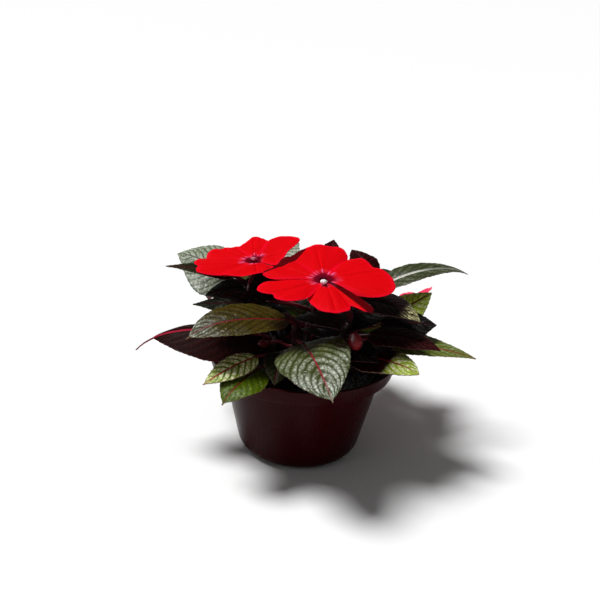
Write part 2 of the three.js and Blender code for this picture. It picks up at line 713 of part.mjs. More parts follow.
// The bloom's stalk, with the two small sepals and the long thin spur that grow under the throat.
function makeBloomStalk(frame, stalk) {
  const under = (drop) => frame.centre.clone().addScaledVector(frame.normal, -drop);
  const seat = THROAT.height - THROAT.rise + SEAM;
  const points = [vec(stalk.waypoint), under(seat + BLOOM_STALK.neck), under(seat)];
  const spurLine = smoothCurve([under(seat + SPUR.drop), ...stalk.spur.map(vec)]);
  const spurRadius = (share) => THREE.MathUtils.lerp(SPUR.rootRadius, SPUR.tipRadius, share);
  return union([
    stalkFromStem(stalk, points, BLOOM_STALK.radius),
    barAlong(spurLine, spurRadius, SPUR.sides, SPUR.steps),
    makeSepal(frame, -1, -seat - SEPAL.drop),
    makeSepal(frame, 1, -seat - SEPAL.drop),
  ]);
}

// ---------------------------------------------------------------- buds

// path: the points that the bud's stalk runs through. top: the way the bud points.
const BUDS = {
  bud_right: {
    stem: "right", at: 0.72, leaves: [0.5, -1, 0],
    path: [[28, -24, 79], [29.5, -32, 77.5], [27, -37, 78.5]],
    radius: 3.2, length: 9, top: [-0.25, -0.1, 1],
  },
  bud_left: {
    stem: "front", at: 0.62, leaves: [-1, 0, 0],
    path: [[-14, -19, 71], [-20, -21, 70]],
    radius: 1.9, length: 6, top: [-0.6, -0.7, 0.3],
  },
  bud_back: {
    stem: "back_left", at: 0.82, leaves: [-0.9, 0.5, 0.2],
    path: [[-30, 28, 87], [-36, 32, 90]],
    radius: 2.6, length: 8, top: [-0.3, 0.5, 1],
  },
};

// A pointed bud on the end of its stalk, in one piece with it.
function makeBud(bud) {
  const points = bud.path.map(vec);
  const seat = points.at(-1);
  const way = vec(bud.top).normalize();
  const line = new THREE.LineCurve3(
    seat.clone().addScaledVector(way, -BUD.root),
    seat.clone().addScaledVector(way, bud.length),
  );
  const radiusAt = (share) => {
    const along = THREE.MathUtils.lerp(...BUD.belly, share);
    return BUD.neckRadius + bud.radius * Math.sin(Math.PI * along) ** BUD.bellyPower;
  };
  const stalk = stalkFromStem(bud, points, BLOOM_STALK.radius * BUD.stalkShare);
  return stalk.add(barAlong(line, radiusAt, BUD.sides, BUD.steps));
}

// ---------------------------------------------------------------- assembly

addPiece("pot", makePot(), MATERIALS.pot);
addPiece("soil", makeSoil(), MATERIALS.soil);
for (const [name, curve] of Object.entries(stemCurves)) {
  const shoot = barAlong(curve, stemRadius, STEM.sides, STEM.steps);
  const stalks = Object.values(LEAVES).filter((leaf) => leaf.stem === name).map(makeLeafStalk);
  addPiece(`stem_${name}`, union([shoot, ...stalks, ...shootLeaves(name)]), MATERIALS.stem);
}
for (const [name, leaf] of Object.entries(LEAVES)) {
  addPiece(name, makeBlade(leaf), leaf.young ? MATERIALS.youngLeaf : MATERIALS.leaf);
}
for (const [name, bloom] of Object.entries(BLOOMS)) {
  const frame = bloomFrame(bloom);
  addPiece(`${name}_petals`, makeCorolla(frame, bloom), MATERIALS.petal);
  addPiece(`${name}_stalk`, makeBloomStalk(frame, bloom.stalk), MATERIALS.stalk);
  addPiece(`${name}_column`, makeColumn(frame, bloom.capForward), MATERIALS.column);
}
for (const [name, bud] of Object.entries(BUDS)) addPiece(name, makeBud(bud), MATERIALS.stalk);

export default plant;
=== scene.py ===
"""The looks of a busy lizzie in its pot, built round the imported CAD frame."""

import math

import bmesh
import bpy
import numpy as np
from mathutils import Matrix, Vector


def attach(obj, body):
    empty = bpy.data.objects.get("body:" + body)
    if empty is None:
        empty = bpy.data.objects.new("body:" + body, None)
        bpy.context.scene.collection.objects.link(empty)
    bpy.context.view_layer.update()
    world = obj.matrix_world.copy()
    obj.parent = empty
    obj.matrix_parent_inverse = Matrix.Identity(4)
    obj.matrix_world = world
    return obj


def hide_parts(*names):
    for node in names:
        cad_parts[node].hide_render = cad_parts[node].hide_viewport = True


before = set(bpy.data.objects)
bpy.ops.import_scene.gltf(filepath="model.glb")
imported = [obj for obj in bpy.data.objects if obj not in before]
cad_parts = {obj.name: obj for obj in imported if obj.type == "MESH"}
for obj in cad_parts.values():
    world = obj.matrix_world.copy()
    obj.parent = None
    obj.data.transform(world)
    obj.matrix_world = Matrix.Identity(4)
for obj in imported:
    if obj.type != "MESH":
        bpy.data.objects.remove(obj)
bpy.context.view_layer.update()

MM = 0.001
Z = np.array([0.0, 0.0, 1.0])

# ---- the part's own measures

# Lengths here are in mm. The pot's rim, collar_foot, shoulder and foot are radii, and corner rounds the foot.
POT = dict(height=59, rim=53.2, collar=9, collar_foot=50.4, shoulder=44.9, foot=26.2, corner=8.9, wall=1.4)
DRAINS = dict(count=4, first=242, width=11, height=3.4)
# level and lumpy: how far out from the axis the soil's top is so.
SOIL = dict(edge=49.6, crown=51.2, radius=42.2, level=25, lumpy=38, foot_radius=33.5, foot=12, grains=900)
STEM_RADII = (3.4, 2.1)
LEAF_STALK_RADIUS = 1.25
STALK_IN_BLADE = 2.5
BLOOM_STALK_RADIUS = 0.935
BUD_STALK_RADIUS = 0.825
STALK_IN_STEM = 0.8
STALK_STRAIGHT = 3.3  # how far a bloom's or bud's stalk runs straight out of its stem
SEAT = 2  # from a bloom's plane down to the foot of its throat
PETAL_THICKNESS = 0.36
SEPAL = dict(start=0.4, length=6.2, half_width=2.1, thick=0.35)
BUD_SEPAL_THICKNESS = 0.3
# The anthers' cap: its height over the throat, its half sizes, and the radius of a filament.
CAP = dict(height=2.2, wide=1.7, long=1.3, thick=1.1, filament=0.26)

STEMS = {
    "front": [(-2, -12, 43), (-3, -15, 58), (-4, -19, 72), (-5, -22, 84)],
    "left": [(-13, -3, 43), (-18, -2, 58), (-23, 0, 72), (-27, 3, 84)],
    "right": [(13, -5, 43), (17, -7, 58), (21, -9, 71), (24, -11, 83)],
    "middle": [(1, 3, 43), (2, 5, 62), (4, 6, 80), (6, 7, 95)],
    "back_left": [(-10, 13, 43), (-14, 18, 60), (-18, 23, 76), (-21, 26, 88)],
    "back_right": [(11, 13, 43), (16, 17, 60), (21, 20, 75), (26, 22, 88)],
}
# The bearing of each stem's first young leaf, how many there are, and their size as a share.
SHOOTS = {
    "front": (200, 2, 0.6),
    "left": (0, 0, 1),
    "right": (120, 2, 0.8),
    "middle": (190, 2, 0.8),
    "back_left": (150, 3, 1),
    "back_right": (60, 2, 1),
}
SHOOT = dict(at=0.985, turn=137.5, length=16, width=7, shrink=0.8, rise=42, step_up=9, arch=(1.5, 2), fold=20)
BLADE = dict(thick=0.5, tooth=0.5, tooth_length=2.6, veins=7.5, quilt=0.055, groove=0.45, keel=0.9)

# Each blade: its stem, how far up the stem its stalk leaves, its base and tip, how high its arch lifts near
# the base and near the tip, its width, its roll and the rise of its folded sides in degrees, and its look.
LEAVES = {
    "front": ("front", 0.75, (-0.5, -28, 74.5), (15.5, -80, 69), (9, 11), 38, 16, 8, "silver"),
    "front_left_upper": ("front", 0.95, (-9, -27, 87), (-59, -43, 80), (6, 11), 28, -12, 8, "bronze"),
    "front_left_low": ("front", 0.45, (-24, -34, 68.5), (-49, -53, 60), (3, 2), 16, -14, 0, "lime"),
    "front_left_lowest": ("front", 0.25, (-22, -37, 63.5), (-38.5, -60, 53), (3, 5), 24, -6, 4, "grass"),
    "front_small": ("front", 0.35, (-12, -32, 70), (-13.5, -50, 61), (4, 3), 16, -10, 8, "shade"),
    "left_long": ("left", 0.5, (-23, -10, 70), (-91.5, -12, 57.4), (8.5, 17), 36, -14, -20, "purple"),
    "left_upper": ("middle", 0.7, (-19, -8.5, 89.5), (-59, -22, 90.5), (1, 0), 23.5, -18, -4, "slate"),
    "left_inner": ("left", 0.75, (-33, 10, 89.5), (-56, 4, 85.5), (2, 2), 21.5, -10, 4, "slate"),
    "left_narrow": ("back_left", 0.85, (-42, 11, 95.5), (-78, 5, 101), (3.5, 1.5), 13, -16, 6, "shade"),
    "left_back": ("back_left", 0.8, (-41, 20, 92.3), (-76, 32, 99.3), (4, 8), 35.5, -38, -18, "pale"),
    "back_tall": ("back_left", 0.97, (-20, 34, 96), (-6.5, 44, 106.5), (3, 2), 20, 20, 8, "pale"),
    "back_middle": ("middle", 0.95, (9, 12, 101), (13.5, 32, 113.5), (2, 2), 14, 0, 10, "maroon"),
    "back_upper": ("back_right", 0.97, (34, 12, 97), (24, 28, 109.5), (6, 4), 19, 0, 10, "maroon"),
    "right_back": ("back_right", 0.9, (38, 16, 90), (91.5, 30, 98.6), (10, 11), 18.5, 10, 10, "grey"),
    "right_bright": ("back_right", 0.7, (46.5, 4, 79.5), (71, 22, 88.8), (1, 1), 19.5, 30, -12, "bright"),
    "right_top": ("right", 0.98, (26, -9.5, 93), (59.5, -26, 90), (6, 6), 29, 4, 6, "tipped"),
    "right_upper": ("back_right", 0.55, (41, -6.5, 79.5), (71, -8, 81.5), (3, 2), 29.5, 18, -4, "black"),
    "right_long": ("right", 0.55, (36, -3, 69.5), (92, -20, 68.6), (3, 3), 23.5, 10, 6, "sunlit"),
    "right_mid": ("right", 0.75, (34, -17, 77.5), (71, -30, 76.5), (4, 4), 21, 10, 4, "maroon"),
    "right_low": ("right", 0.3, (25, -21, 67), (59.5, -42, 68), (3, 5), 25, 12, 4, "half"),
    # The inner blades fill the plant's middle, and their near-black look paints the shade there.
    "inner_front": ("front", 0.9, (2, -21, 88.8), (18, -45, 91), (3, 3), 28, 0, 6, "black"),
    "inner_left": ("middle", 0.4, (-7, -3, 79), (-38, -14, 84), (3, 3), 22, -10, 6, "black"),
    "inner_right": ("right", 0.45, (17, -18, 69), (38, -42, 73), (3, 3), 24, 10, 6, "black"),
    "inner_middle": ("middle", 0.35, (8, -4, 73), (11, -26, 77), (3, 3), 22, 0, 6, "black"),
    "inner_back": ("middle", 0.75, (12, 0, 92), (26, -12, 98), (3, 3), 20, 0, 6, "black"),
    "inner_shaded": ("middle", 0.8, (-4, 10, 94), (-37, 8.5, 92), (1, 1), 26, -30, 4, "black"),
    "inner_deep": ("middle", 0.5, (9, 6, 77), (49.5, 1, 83.5), (3, 2), 28.5, 22, 4, "black"),
    "back_1": ("back_left", 0.5, (-20, 37, 78), (-42, 90, 70), (8, 11), 31, 0, 8, "silver"),
    "back_2": ("back_left", 0.7, (-35, 29, 74), (-62, 66, 58), (7, 10), 30, 0, 8, "bronze"),
    "back_3": ("left", 0.3, (-30, 18, 64), (-63, 40, 51), (5, 9), 27.5, 0, 8, "grass"),
    "back_4": ("back_left", 0.9, (-14, 38, 86), (-20, 84, 81), (7, 9), 27.5, 0, 8, "shade"),
    "back_5": ("back_right", 0.45, (18, 36, 70), (22, 90, 62), (8, 12), 33, 0, 8, "grey"),
    "back_6": ("back_right", 0.75, (26, 40, 78), (33, 88, 73), (7, 9), 29, 0, 8, "silver"),
    "back_7": ("back_right", 0.3, (32, 20, 64), (76, 36, 52), (6, 9), 30, 0, 8, "grass"),
    "back_8": ("middle", 0.7, (4, 27, 87), (9, 78, 86), (7, 9), 27, 0, 8, "bronze"),
    "back_9": ("back_left", 0.25, (-4, 32, 62), (-4, 76, 58), (6, 9), 30, 0, 8, "grass"),
    "back_10": ("back_right", 0.88, (32, 29, 89), (47, 66, 84), (5, 7), 26, 0, 8, "shade"),
}
# How sharply a blade narrows to its tip, and the share of its length that is a drawn-out tail.
PLAIN_OUTLINE = (1.15, 0)
OUTLINES = {
    "front": (0.85, 0.03), "front_left_upper": (0.8, 0.04), "front_left_low": (1, 0.04),
    "front_left_lowest": (1, 0.04), "left_long": (0.9, 0.19), "left_upper": (1.5, 0), "left_narrow": (1.6, 0),
    "right_back": (1.3, 0), "right_long": (1.3, 0), "right_low": (0.9, 0),
}

# A bloom leans by its tilt to its heading, both in degrees. cap: how far the anthers hang out over the
# throat's lower lip. deep: the middle and radius of the circle, in the bloom's own plane, within which the
# petals are painted dark red as the shadow of the back bloom. stalk: its stem, the place up it, the way it
# leaves and a point to pass. Each petal: its turn, half its spread, how far its end reaches at seven even
# steps across, its slope at each side, its droop, then in some a cleft (where across the end, and how deep)
# and in one where across it a painted shadow begins, dark red, as the shade of the petal above.
BLOOMS = {
    "bloom_front": dict(
        centre=(8, -26, 110), tilt=8, heading=-90, cap=6, deep=((-54.9, 42.7), 46.3),
        stalk=("right", 0.93, (-1, -0.6, 0.2), (14, -19, 94)),
        spur=[(9, -18, 103), (12, -10, 100), (17, -3, 102)],
        petals=[
            (18, 50, (22, 35, 36, 33.5, 31, 31.5, 26), (0.04, 0.1), 3, 0.25, 0.04),
            (98, 36, (29, 35.5, 36, 36, 33.5, 31, 31), (0.06, 0.04), 2),
            (155, 29, (31, 30, 28, 27.5, 28, 31.5, 27), (0.02, 0), 1),
            (215, 36, (27, 32.5, 35, 31, 30, 23.5, 15), (-0.04, -0.04), 1.5, -0.05, 0.05),
            (285, 46, (15.5, 20, 25.5, 28, 28, 34, 26), (-0.04, -0.04), 3.5, 0.45, 0.2, 0.56),
        ],
    ),
    "bloom_back": dict(
        centre=(-30, 8, 106), tilt=-3, heading=-90, cap=3, deep=((0, 0), 0),
        stalk=("left", 0.95, (-1, -0.1, 0.2), (-32, 1, 94)),
        spur=[(-30, 16, 98), (-29, 25, 93), (-27, 32, 92)],
        petals=[
            (24, 50, (14, 14.5, 17, 20.5, 31.5, 28, 20), (0, 0.36), 0),
            (96, 30, (20, 23.5, 26, 28, 24, 21.5, 21), (0.34, 0.16), 2),
            (140, 36, (24, 23.5, 24, 26.5, 29, 28, 26), (0.16, -0.02), 2, 0, 0.03),
            (203, 42, (29, 31.5, 32.5, 32.5, 34.5, 27, 21), (-0.02, -0.08), 2, -0.1, 0.04),
            (280, 52, (26, 26.5, 24.5, 21, 19, 15, 13), (-0.08, 0), 1),
        ],
    ),
    "bloom_side": dict(
        centre=(62, 49, 72.8), tilt=26, heading=128, cap=2, deep=((0, 0), 0),
        stalk=("back_right", 0.64, (0.4, 1, 0.1), (42, 37, 71)),
        spur=[(60, 42, 67.5), (56, 38, 66.5), (52, 35, 67)],
        petals=[
            (20, 37, (11, 14.5, 16, 16, 16, 14.5, 11), (0.3, 0.3), 1, 0, 0.05),
            (92, 37, (10.5, 13.5, 14, 13, 12, 11, 9), (0.3, 0.25), 0, 0, 0.03),
            (164, 37, (10, 13.5, 15, 15, 15, 13.5, 10), (0.3, 0.3), 1, 0, 0.04),
            (234, 37, (9.5, 13, 14.5, 14.5, 14.5, 13, 9.5), (0.2, 0.2), 1, 0, 0.13),
            (306, 37, (9.5, 13, 14.5, 14.5, 14.5, 13, 9.5), (0.2, 0.2), 1, 0, 0.13),
        ],
    ),
}

# The section of a bloom's throat, a ring closed on itself: radii and heights.
THROAT = [
    (4.2, 0.5), (3.2, 0.35), (2.2, -0.3), (1.4, -1.2), (0.5, -1.7), (1.6, -1.9), (2.5, -1.4), (3.6, -0.2),
]

# Each bud: its stem, the place up it, the way the stalk leaves, the stalk's points, the bud's radius and
# length, and the way it points.
BUDS = {
    "bud_right": (
        "right", 0.72, (0.5, -1, 0), [(28, -24, 79), (29.5, -32, 77.5), (27, -37, 78.5)], 3.2, 9,
        (-0.25, -0.1, 1),
    ),
    "bud_left": ("front", 0.62, (-1, 0, 0), [(-14, -19, 71), (-20, -21, 70)], 1.9, 6, (-0.6, -0.7, 0.3)),
    "bud_back": ("back_left", 0.82, (-0.9, 0.5, 0.2), [(-30, 28, 87), (-36, 32, 90)], 2.6, 8, (-0.3, 0.5, 1)),
}

# ---- curves


def unit(v):
    v = np.asarray(v, float)
    return v / np.linalg.norm(v, axis=-1, keepdims=True)


def smoothstep(x, low, high):
    t = np.clip((x - low) / (high - low), 0, 1)
    return t * t * (3 - 2 * t)


def lerp(a, b, t):
    return a + (b - a) * t


def evenly(points, count):
    """count points spaced evenly along a polyline."""
    steps = np.linalg.norm(np.diff(points, axis=0), axis=1)
    travelled = np.concatenate([[0], np.cumsum(steps)])
    wanted = np.linspace(0, travelled[-1], count)
    return np.stack([np.interp(wanted, travelled, points[:, k]) for k in range(3)], 1)


def turns_of(count):
    """The turns of count even steps once round."""
    return np.linspace(0, 2 * math.pi, count, endpoint=False)


def sheet(rows, columns):
    """Two grids: from 0 to 1 along a sheet, and from -1 to 1 across it."""
    return np.meshgrid(np.linspace(0, 1, rows), np.linspace(-1, 1, columns), indexing="ij")


def smooth_curve(points, count=200):
    """A centripetal Catmull-Rom curve through the points, as count points spaced evenly along it."""
    p = np.array(points, float)
    p = np.vstack([2 * p[0] - p[1], p, 2 * p[-1] - p[-2]])
    t = np.linspace(0, 1, 60)
    run = []
    for a, b, c, d in zip(p, p[1:], p[2:], p[3:]):
        dt = [np.sqrt(np.linalg.norm(y - x)) for x, y in ((a, b), (b, c), (c, d))]
        start = ((b - a) / dt[0] - (c - a) / (dt[0] + dt[1]) + (c - b) / dt[1]) * dt[1]
        end = ((c - b) / dt[1] - (d - b) / (dt[1] + dt[2]) + (d - c) / dt[2]) * dt[1]
        run.append(bezier((b, b + start / 3, c - end / 3, c), t)[0])
    return evenly(np.vstack(run), count)


def along(curve, share):
    """The point at a share of a curve's length."""
    return curve[int(round(share * (len(curve) - 1)))]


def bezier(points, t):
    """The places and directions at t along a curve from four handles."""
    a, b, c, d = (np.asarray(p, float) for p in points)
    t = t[:, None]
    place = (1 - t) ** 3 * a + 3 * (1 - t) ** 2 * t * b + 3 * (1 - t) * t**2 * c + t**3 * d
    way = (1 - t) ** 2 * (b - a) + 2 * (1 - t) * t * (c - b) + t**2 * (d - c)
    return place, unit(way)


def bend(a, b, c, t):
    """The places at t along a bend from a to c that b pulls at."""
    return (1 - t) ** 2 * a + 2 * t * (1 - t) * b + t * t * c


def turned(v, axis, degrees):
    """v turned about a unit axis."""
    a = math.radians(degrees)
    return v * math.cos(a) + np.cross(axis, v) * math.sin(a) + axis * (axis @ v) * (1 - math.cos(a))


def toward(bearing, rise):
    """The direction at a bearing and a rise over the level, both in degrees."""
    b, r = math.radians(bearing), math.radians(rise)
    return np.array([math.cos(r) * math.cos(b), math.cos(r) * math.sin(b), math.sin(r)])


STEM_CURVES = {name: smooth_curve(points) for name, points in STEMS.items()}

# ---- meshes


class Shape:
    """Vertices, faces and per-vertex numbers from several grids, made one object that faces outward."""

    def __init__(self):
        self.points, self.faces, self.slots, self.fields, self.count = [], [], [], [], 0

    def add(self, points, faces, slot=0, **fields):
        points = np.asarray(points, float).reshape(-1, 3)
        self.points.append(points)
        self.faces.extend(tuple(int(k) + self.count for k in face) for face in faces)
        self.slots.extend([slot] * len(faces) if isinstance(slot, int) else slot)
        self.fields.append((len(points), fields))
        self.count += len(points)

    def build(self, name, materials):
        mesh = bpy.data.meshes.new(name)
        points = np.vstack(self.points) * MM
        mesh.from_pydata(points.tolist(), [], self.faces)
        bm = bmesh.new()
        bm.from_mesh(mesh)
        bmesh.ops.recalc_face_normals(bm, faces=bm.faces)
        bm.to_mesh(mesh)
        bm.free()
        for material in materials:
            mesh.materials.append(material)
        mesh.polygons.foreach_set("material_index", self.slots)
        mesh.polygons.foreach_set("use_smooth", [True] * len(self.faces))
        for field in sorted({key for _, fields in self.fields for key in fields}):
            values = np.concatenate([
                np.broadcast_to(np.asarray(fields.get(field, 0.0), np.float32).ravel(), (size,))
                for size, fields in self.fields
            ])
            layer = mesh.attributes.new(field, "FLOAT", "POINT")
            layer.data.foreach_set("value", values)
        mesh.update()
        obj = bpy.data.objects.new(name, mesh)
        bpy.context.scene.collection.objects.link(obj)
        return obj


def grid_faces(rows, columns, closed=False):
    """The faces between the points of a grid, which may be closed round."""
    steps = [(j, (j + 1) % columns) for j in range(columns if closed else columns - 1)]
    starts = [(i * columns, (i + 1) * columns) for i in range(rows - 1)]
    return [(a + j, b + j, b + k, a + k) for a, b in starts for j, k in steps]


def end_faces(rows, columns):
    """The two faces that close the ends of a grid that is closed round."""
    last = (rows - 1) * columns
    return [tuple(range(columns)), tuple(last + k for k in reversed(range(columns)))]


def add_slab(shape, front, back, slots=(0, 1), **fields):
    """A thin closed sheet between two point grids of one size, with a rim."""
    rows, columns = front.shape[:2]
    size = rows * columns
    top = [face[::-1] for face in grid_faces(rows, columns)]
    under = [tuple(k + size for k in face) for face in grid_faces(rows, columns)]
    loop = list(range(columns))
    loop += [i * columns + columns - 1 for i in range(1, rows)]
    loop += [(rows - 1) * columns + j for j in range(columns - 2, -1, -1)]
    loop += [i * columns for i in range(rows - 2, 0, -1)]
    rim = [(a, b, b + size, a + size) for a, b in zip(loop, loop[1:] + loop[:1])]
    both = {key: np.concatenate([np.ravel(value)] * 2) for key, value in fields.items()}
    kinds = [slots[0]] * len(top) + [slots[1]] * len(under) + [slots[1]] * len(rim)
    shape.add(np.concatenate([front.reshape(-1, 3), back.reshape(-1, 3)]), top + under + rim, kinds, **both)


def add_tube(shape, curve, radii, sides=12, slot=0):
    """A round bar along a curve of points, with rounded ends; radii is a number or one for each point."""
    count = len(curve)
    radii = np.broadcast_to(np.asarray(radii, float), (count,)).copy()
    radii[0] *= 0.5
    radii[-1] *= 0.5
    ways = unit(np.gradient(curve, axis=0))
    side = unit(np.cross(ways[0], Z if abs(ways[0][2]) < 0.9 else np.array([1.0, 0, 0])))
    turns = turns_of(sides)
    rings = []
    for centre, way, radius in zip(curve, ways, radii):
        side = unit(side - way * (side @ way))
        up = np.cross(way, side)
        rings.append(centre + radius * (np.cos(turns)[:, None] * side + np.sin(turns)[:, None] * up))
    faces = grid_faces(count, sides, closed=True) + end_faces(count, sides)
    shape.add(np.concatenate(rings), faces, slot)


def wobble(seed, *axes):
    """A smooth pattern of a few sine waves over the given coordinates, between about -1 and 1."""
    rng = np.random.default_rng(seed)
    sizes = (1, 0.6, 0.35)
    total = 0
    for size in sizes:
        phase = rng.uniform(0, 6.28)
        total = total + size * np.sin(sum(a * rng.uniform(0.5, 1.2) / size for a in axes) + phase)
    return total / sum(sizes)


def seed_of(name):
    """A number that stays the same for a name."""
    return sum(ord(c) * (k + 1) for k, c in enumerate(name))


# ---- materials


class Graph:
    """A material's nodes, made by short calls. A value may be a number, a colour or another node's output."""

    def __init__(self, name):
        self.material = bpy.data.materials.new(name)
        self.material.use_nodes = True
        self.tree = self.material.node_tree
        self.shader = self.tree.nodes["Principled BSDF"]

    def put(self, socket, value):
        if isinstance(value, bpy.types.NodeSocket):
            self.tree.links.new(value, socket)
        elif isinstance(value, tuple) and len(socket.default_value) == 4:
            socket.default_value = (*value, 1)
        else:
            socket.default_value = value

    def node(self, kind, inputs, **settings):
        node = self.tree.nodes.new("ShaderNode" + kind)
        for key, value in settings.items():
            setattr(node, key, value)
        for key, value in inputs.items():
            self.put(node.inputs[key], value)
        return node

    def maths(self, operation, a, b=0):
        return self.node("Math", {0: a, 1: b}, operation=operation).outputs[0]

    def times(self, *values):
        result = values[0]
        for value in values[1:]:
            result = self.maths("MULTIPLY", result, value)
        return result

    def step(self, value, low, high, start=0, end=1):
        ports = {"Value": value, "From Min": low, "From Max": high, "To Min": start, "To Max": end}
        return self.node("MapRange", ports, interpolation_type="SMOOTHSTEP").outputs[0]

    def mix(self, share, a, b):
        return self.node("Mix", {0: share, 6: a, 7: b}, data_type="RGBA").outputs[2]

    def field(self, name):
        return self.node("Attribute", {}, attribute_name=name).outputs["Fac"]

    def place(self, scale=(1, 1, 1)):
        spot = self.node("TexCoord", {}).outputs["Object"]
        return self.node("Mapping", {"Vector": spot, "Scale": Vector(scale)}).outputs[0]

    def noise(self, scale, detail=3, roughness=0.55, stretch=(1, 1, 1)):
        ports = {"Vector": self.place(stretch), "Scale": scale, "Detail": detail, "Roughness": roughness}
        return self.node("TexNoise", ports).outputs[0]

    def cells(self, scale):
        ports = {"Vector": self.place(), "Scale": scale}
        return self.node("TexVoronoi", ports, feature="DISTANCE_TO_EDGE").outputs[0]

    def bump(self, height, distance):
        return self.node("Bump", {"Height": height, "Distance": distance, "Strength": 1}).outputs[0]

    def finish(self, **values):
        for key, value in values.items():
            self.put(self.shader.inputs[key.replace("_", " ")], value)
        return self.material


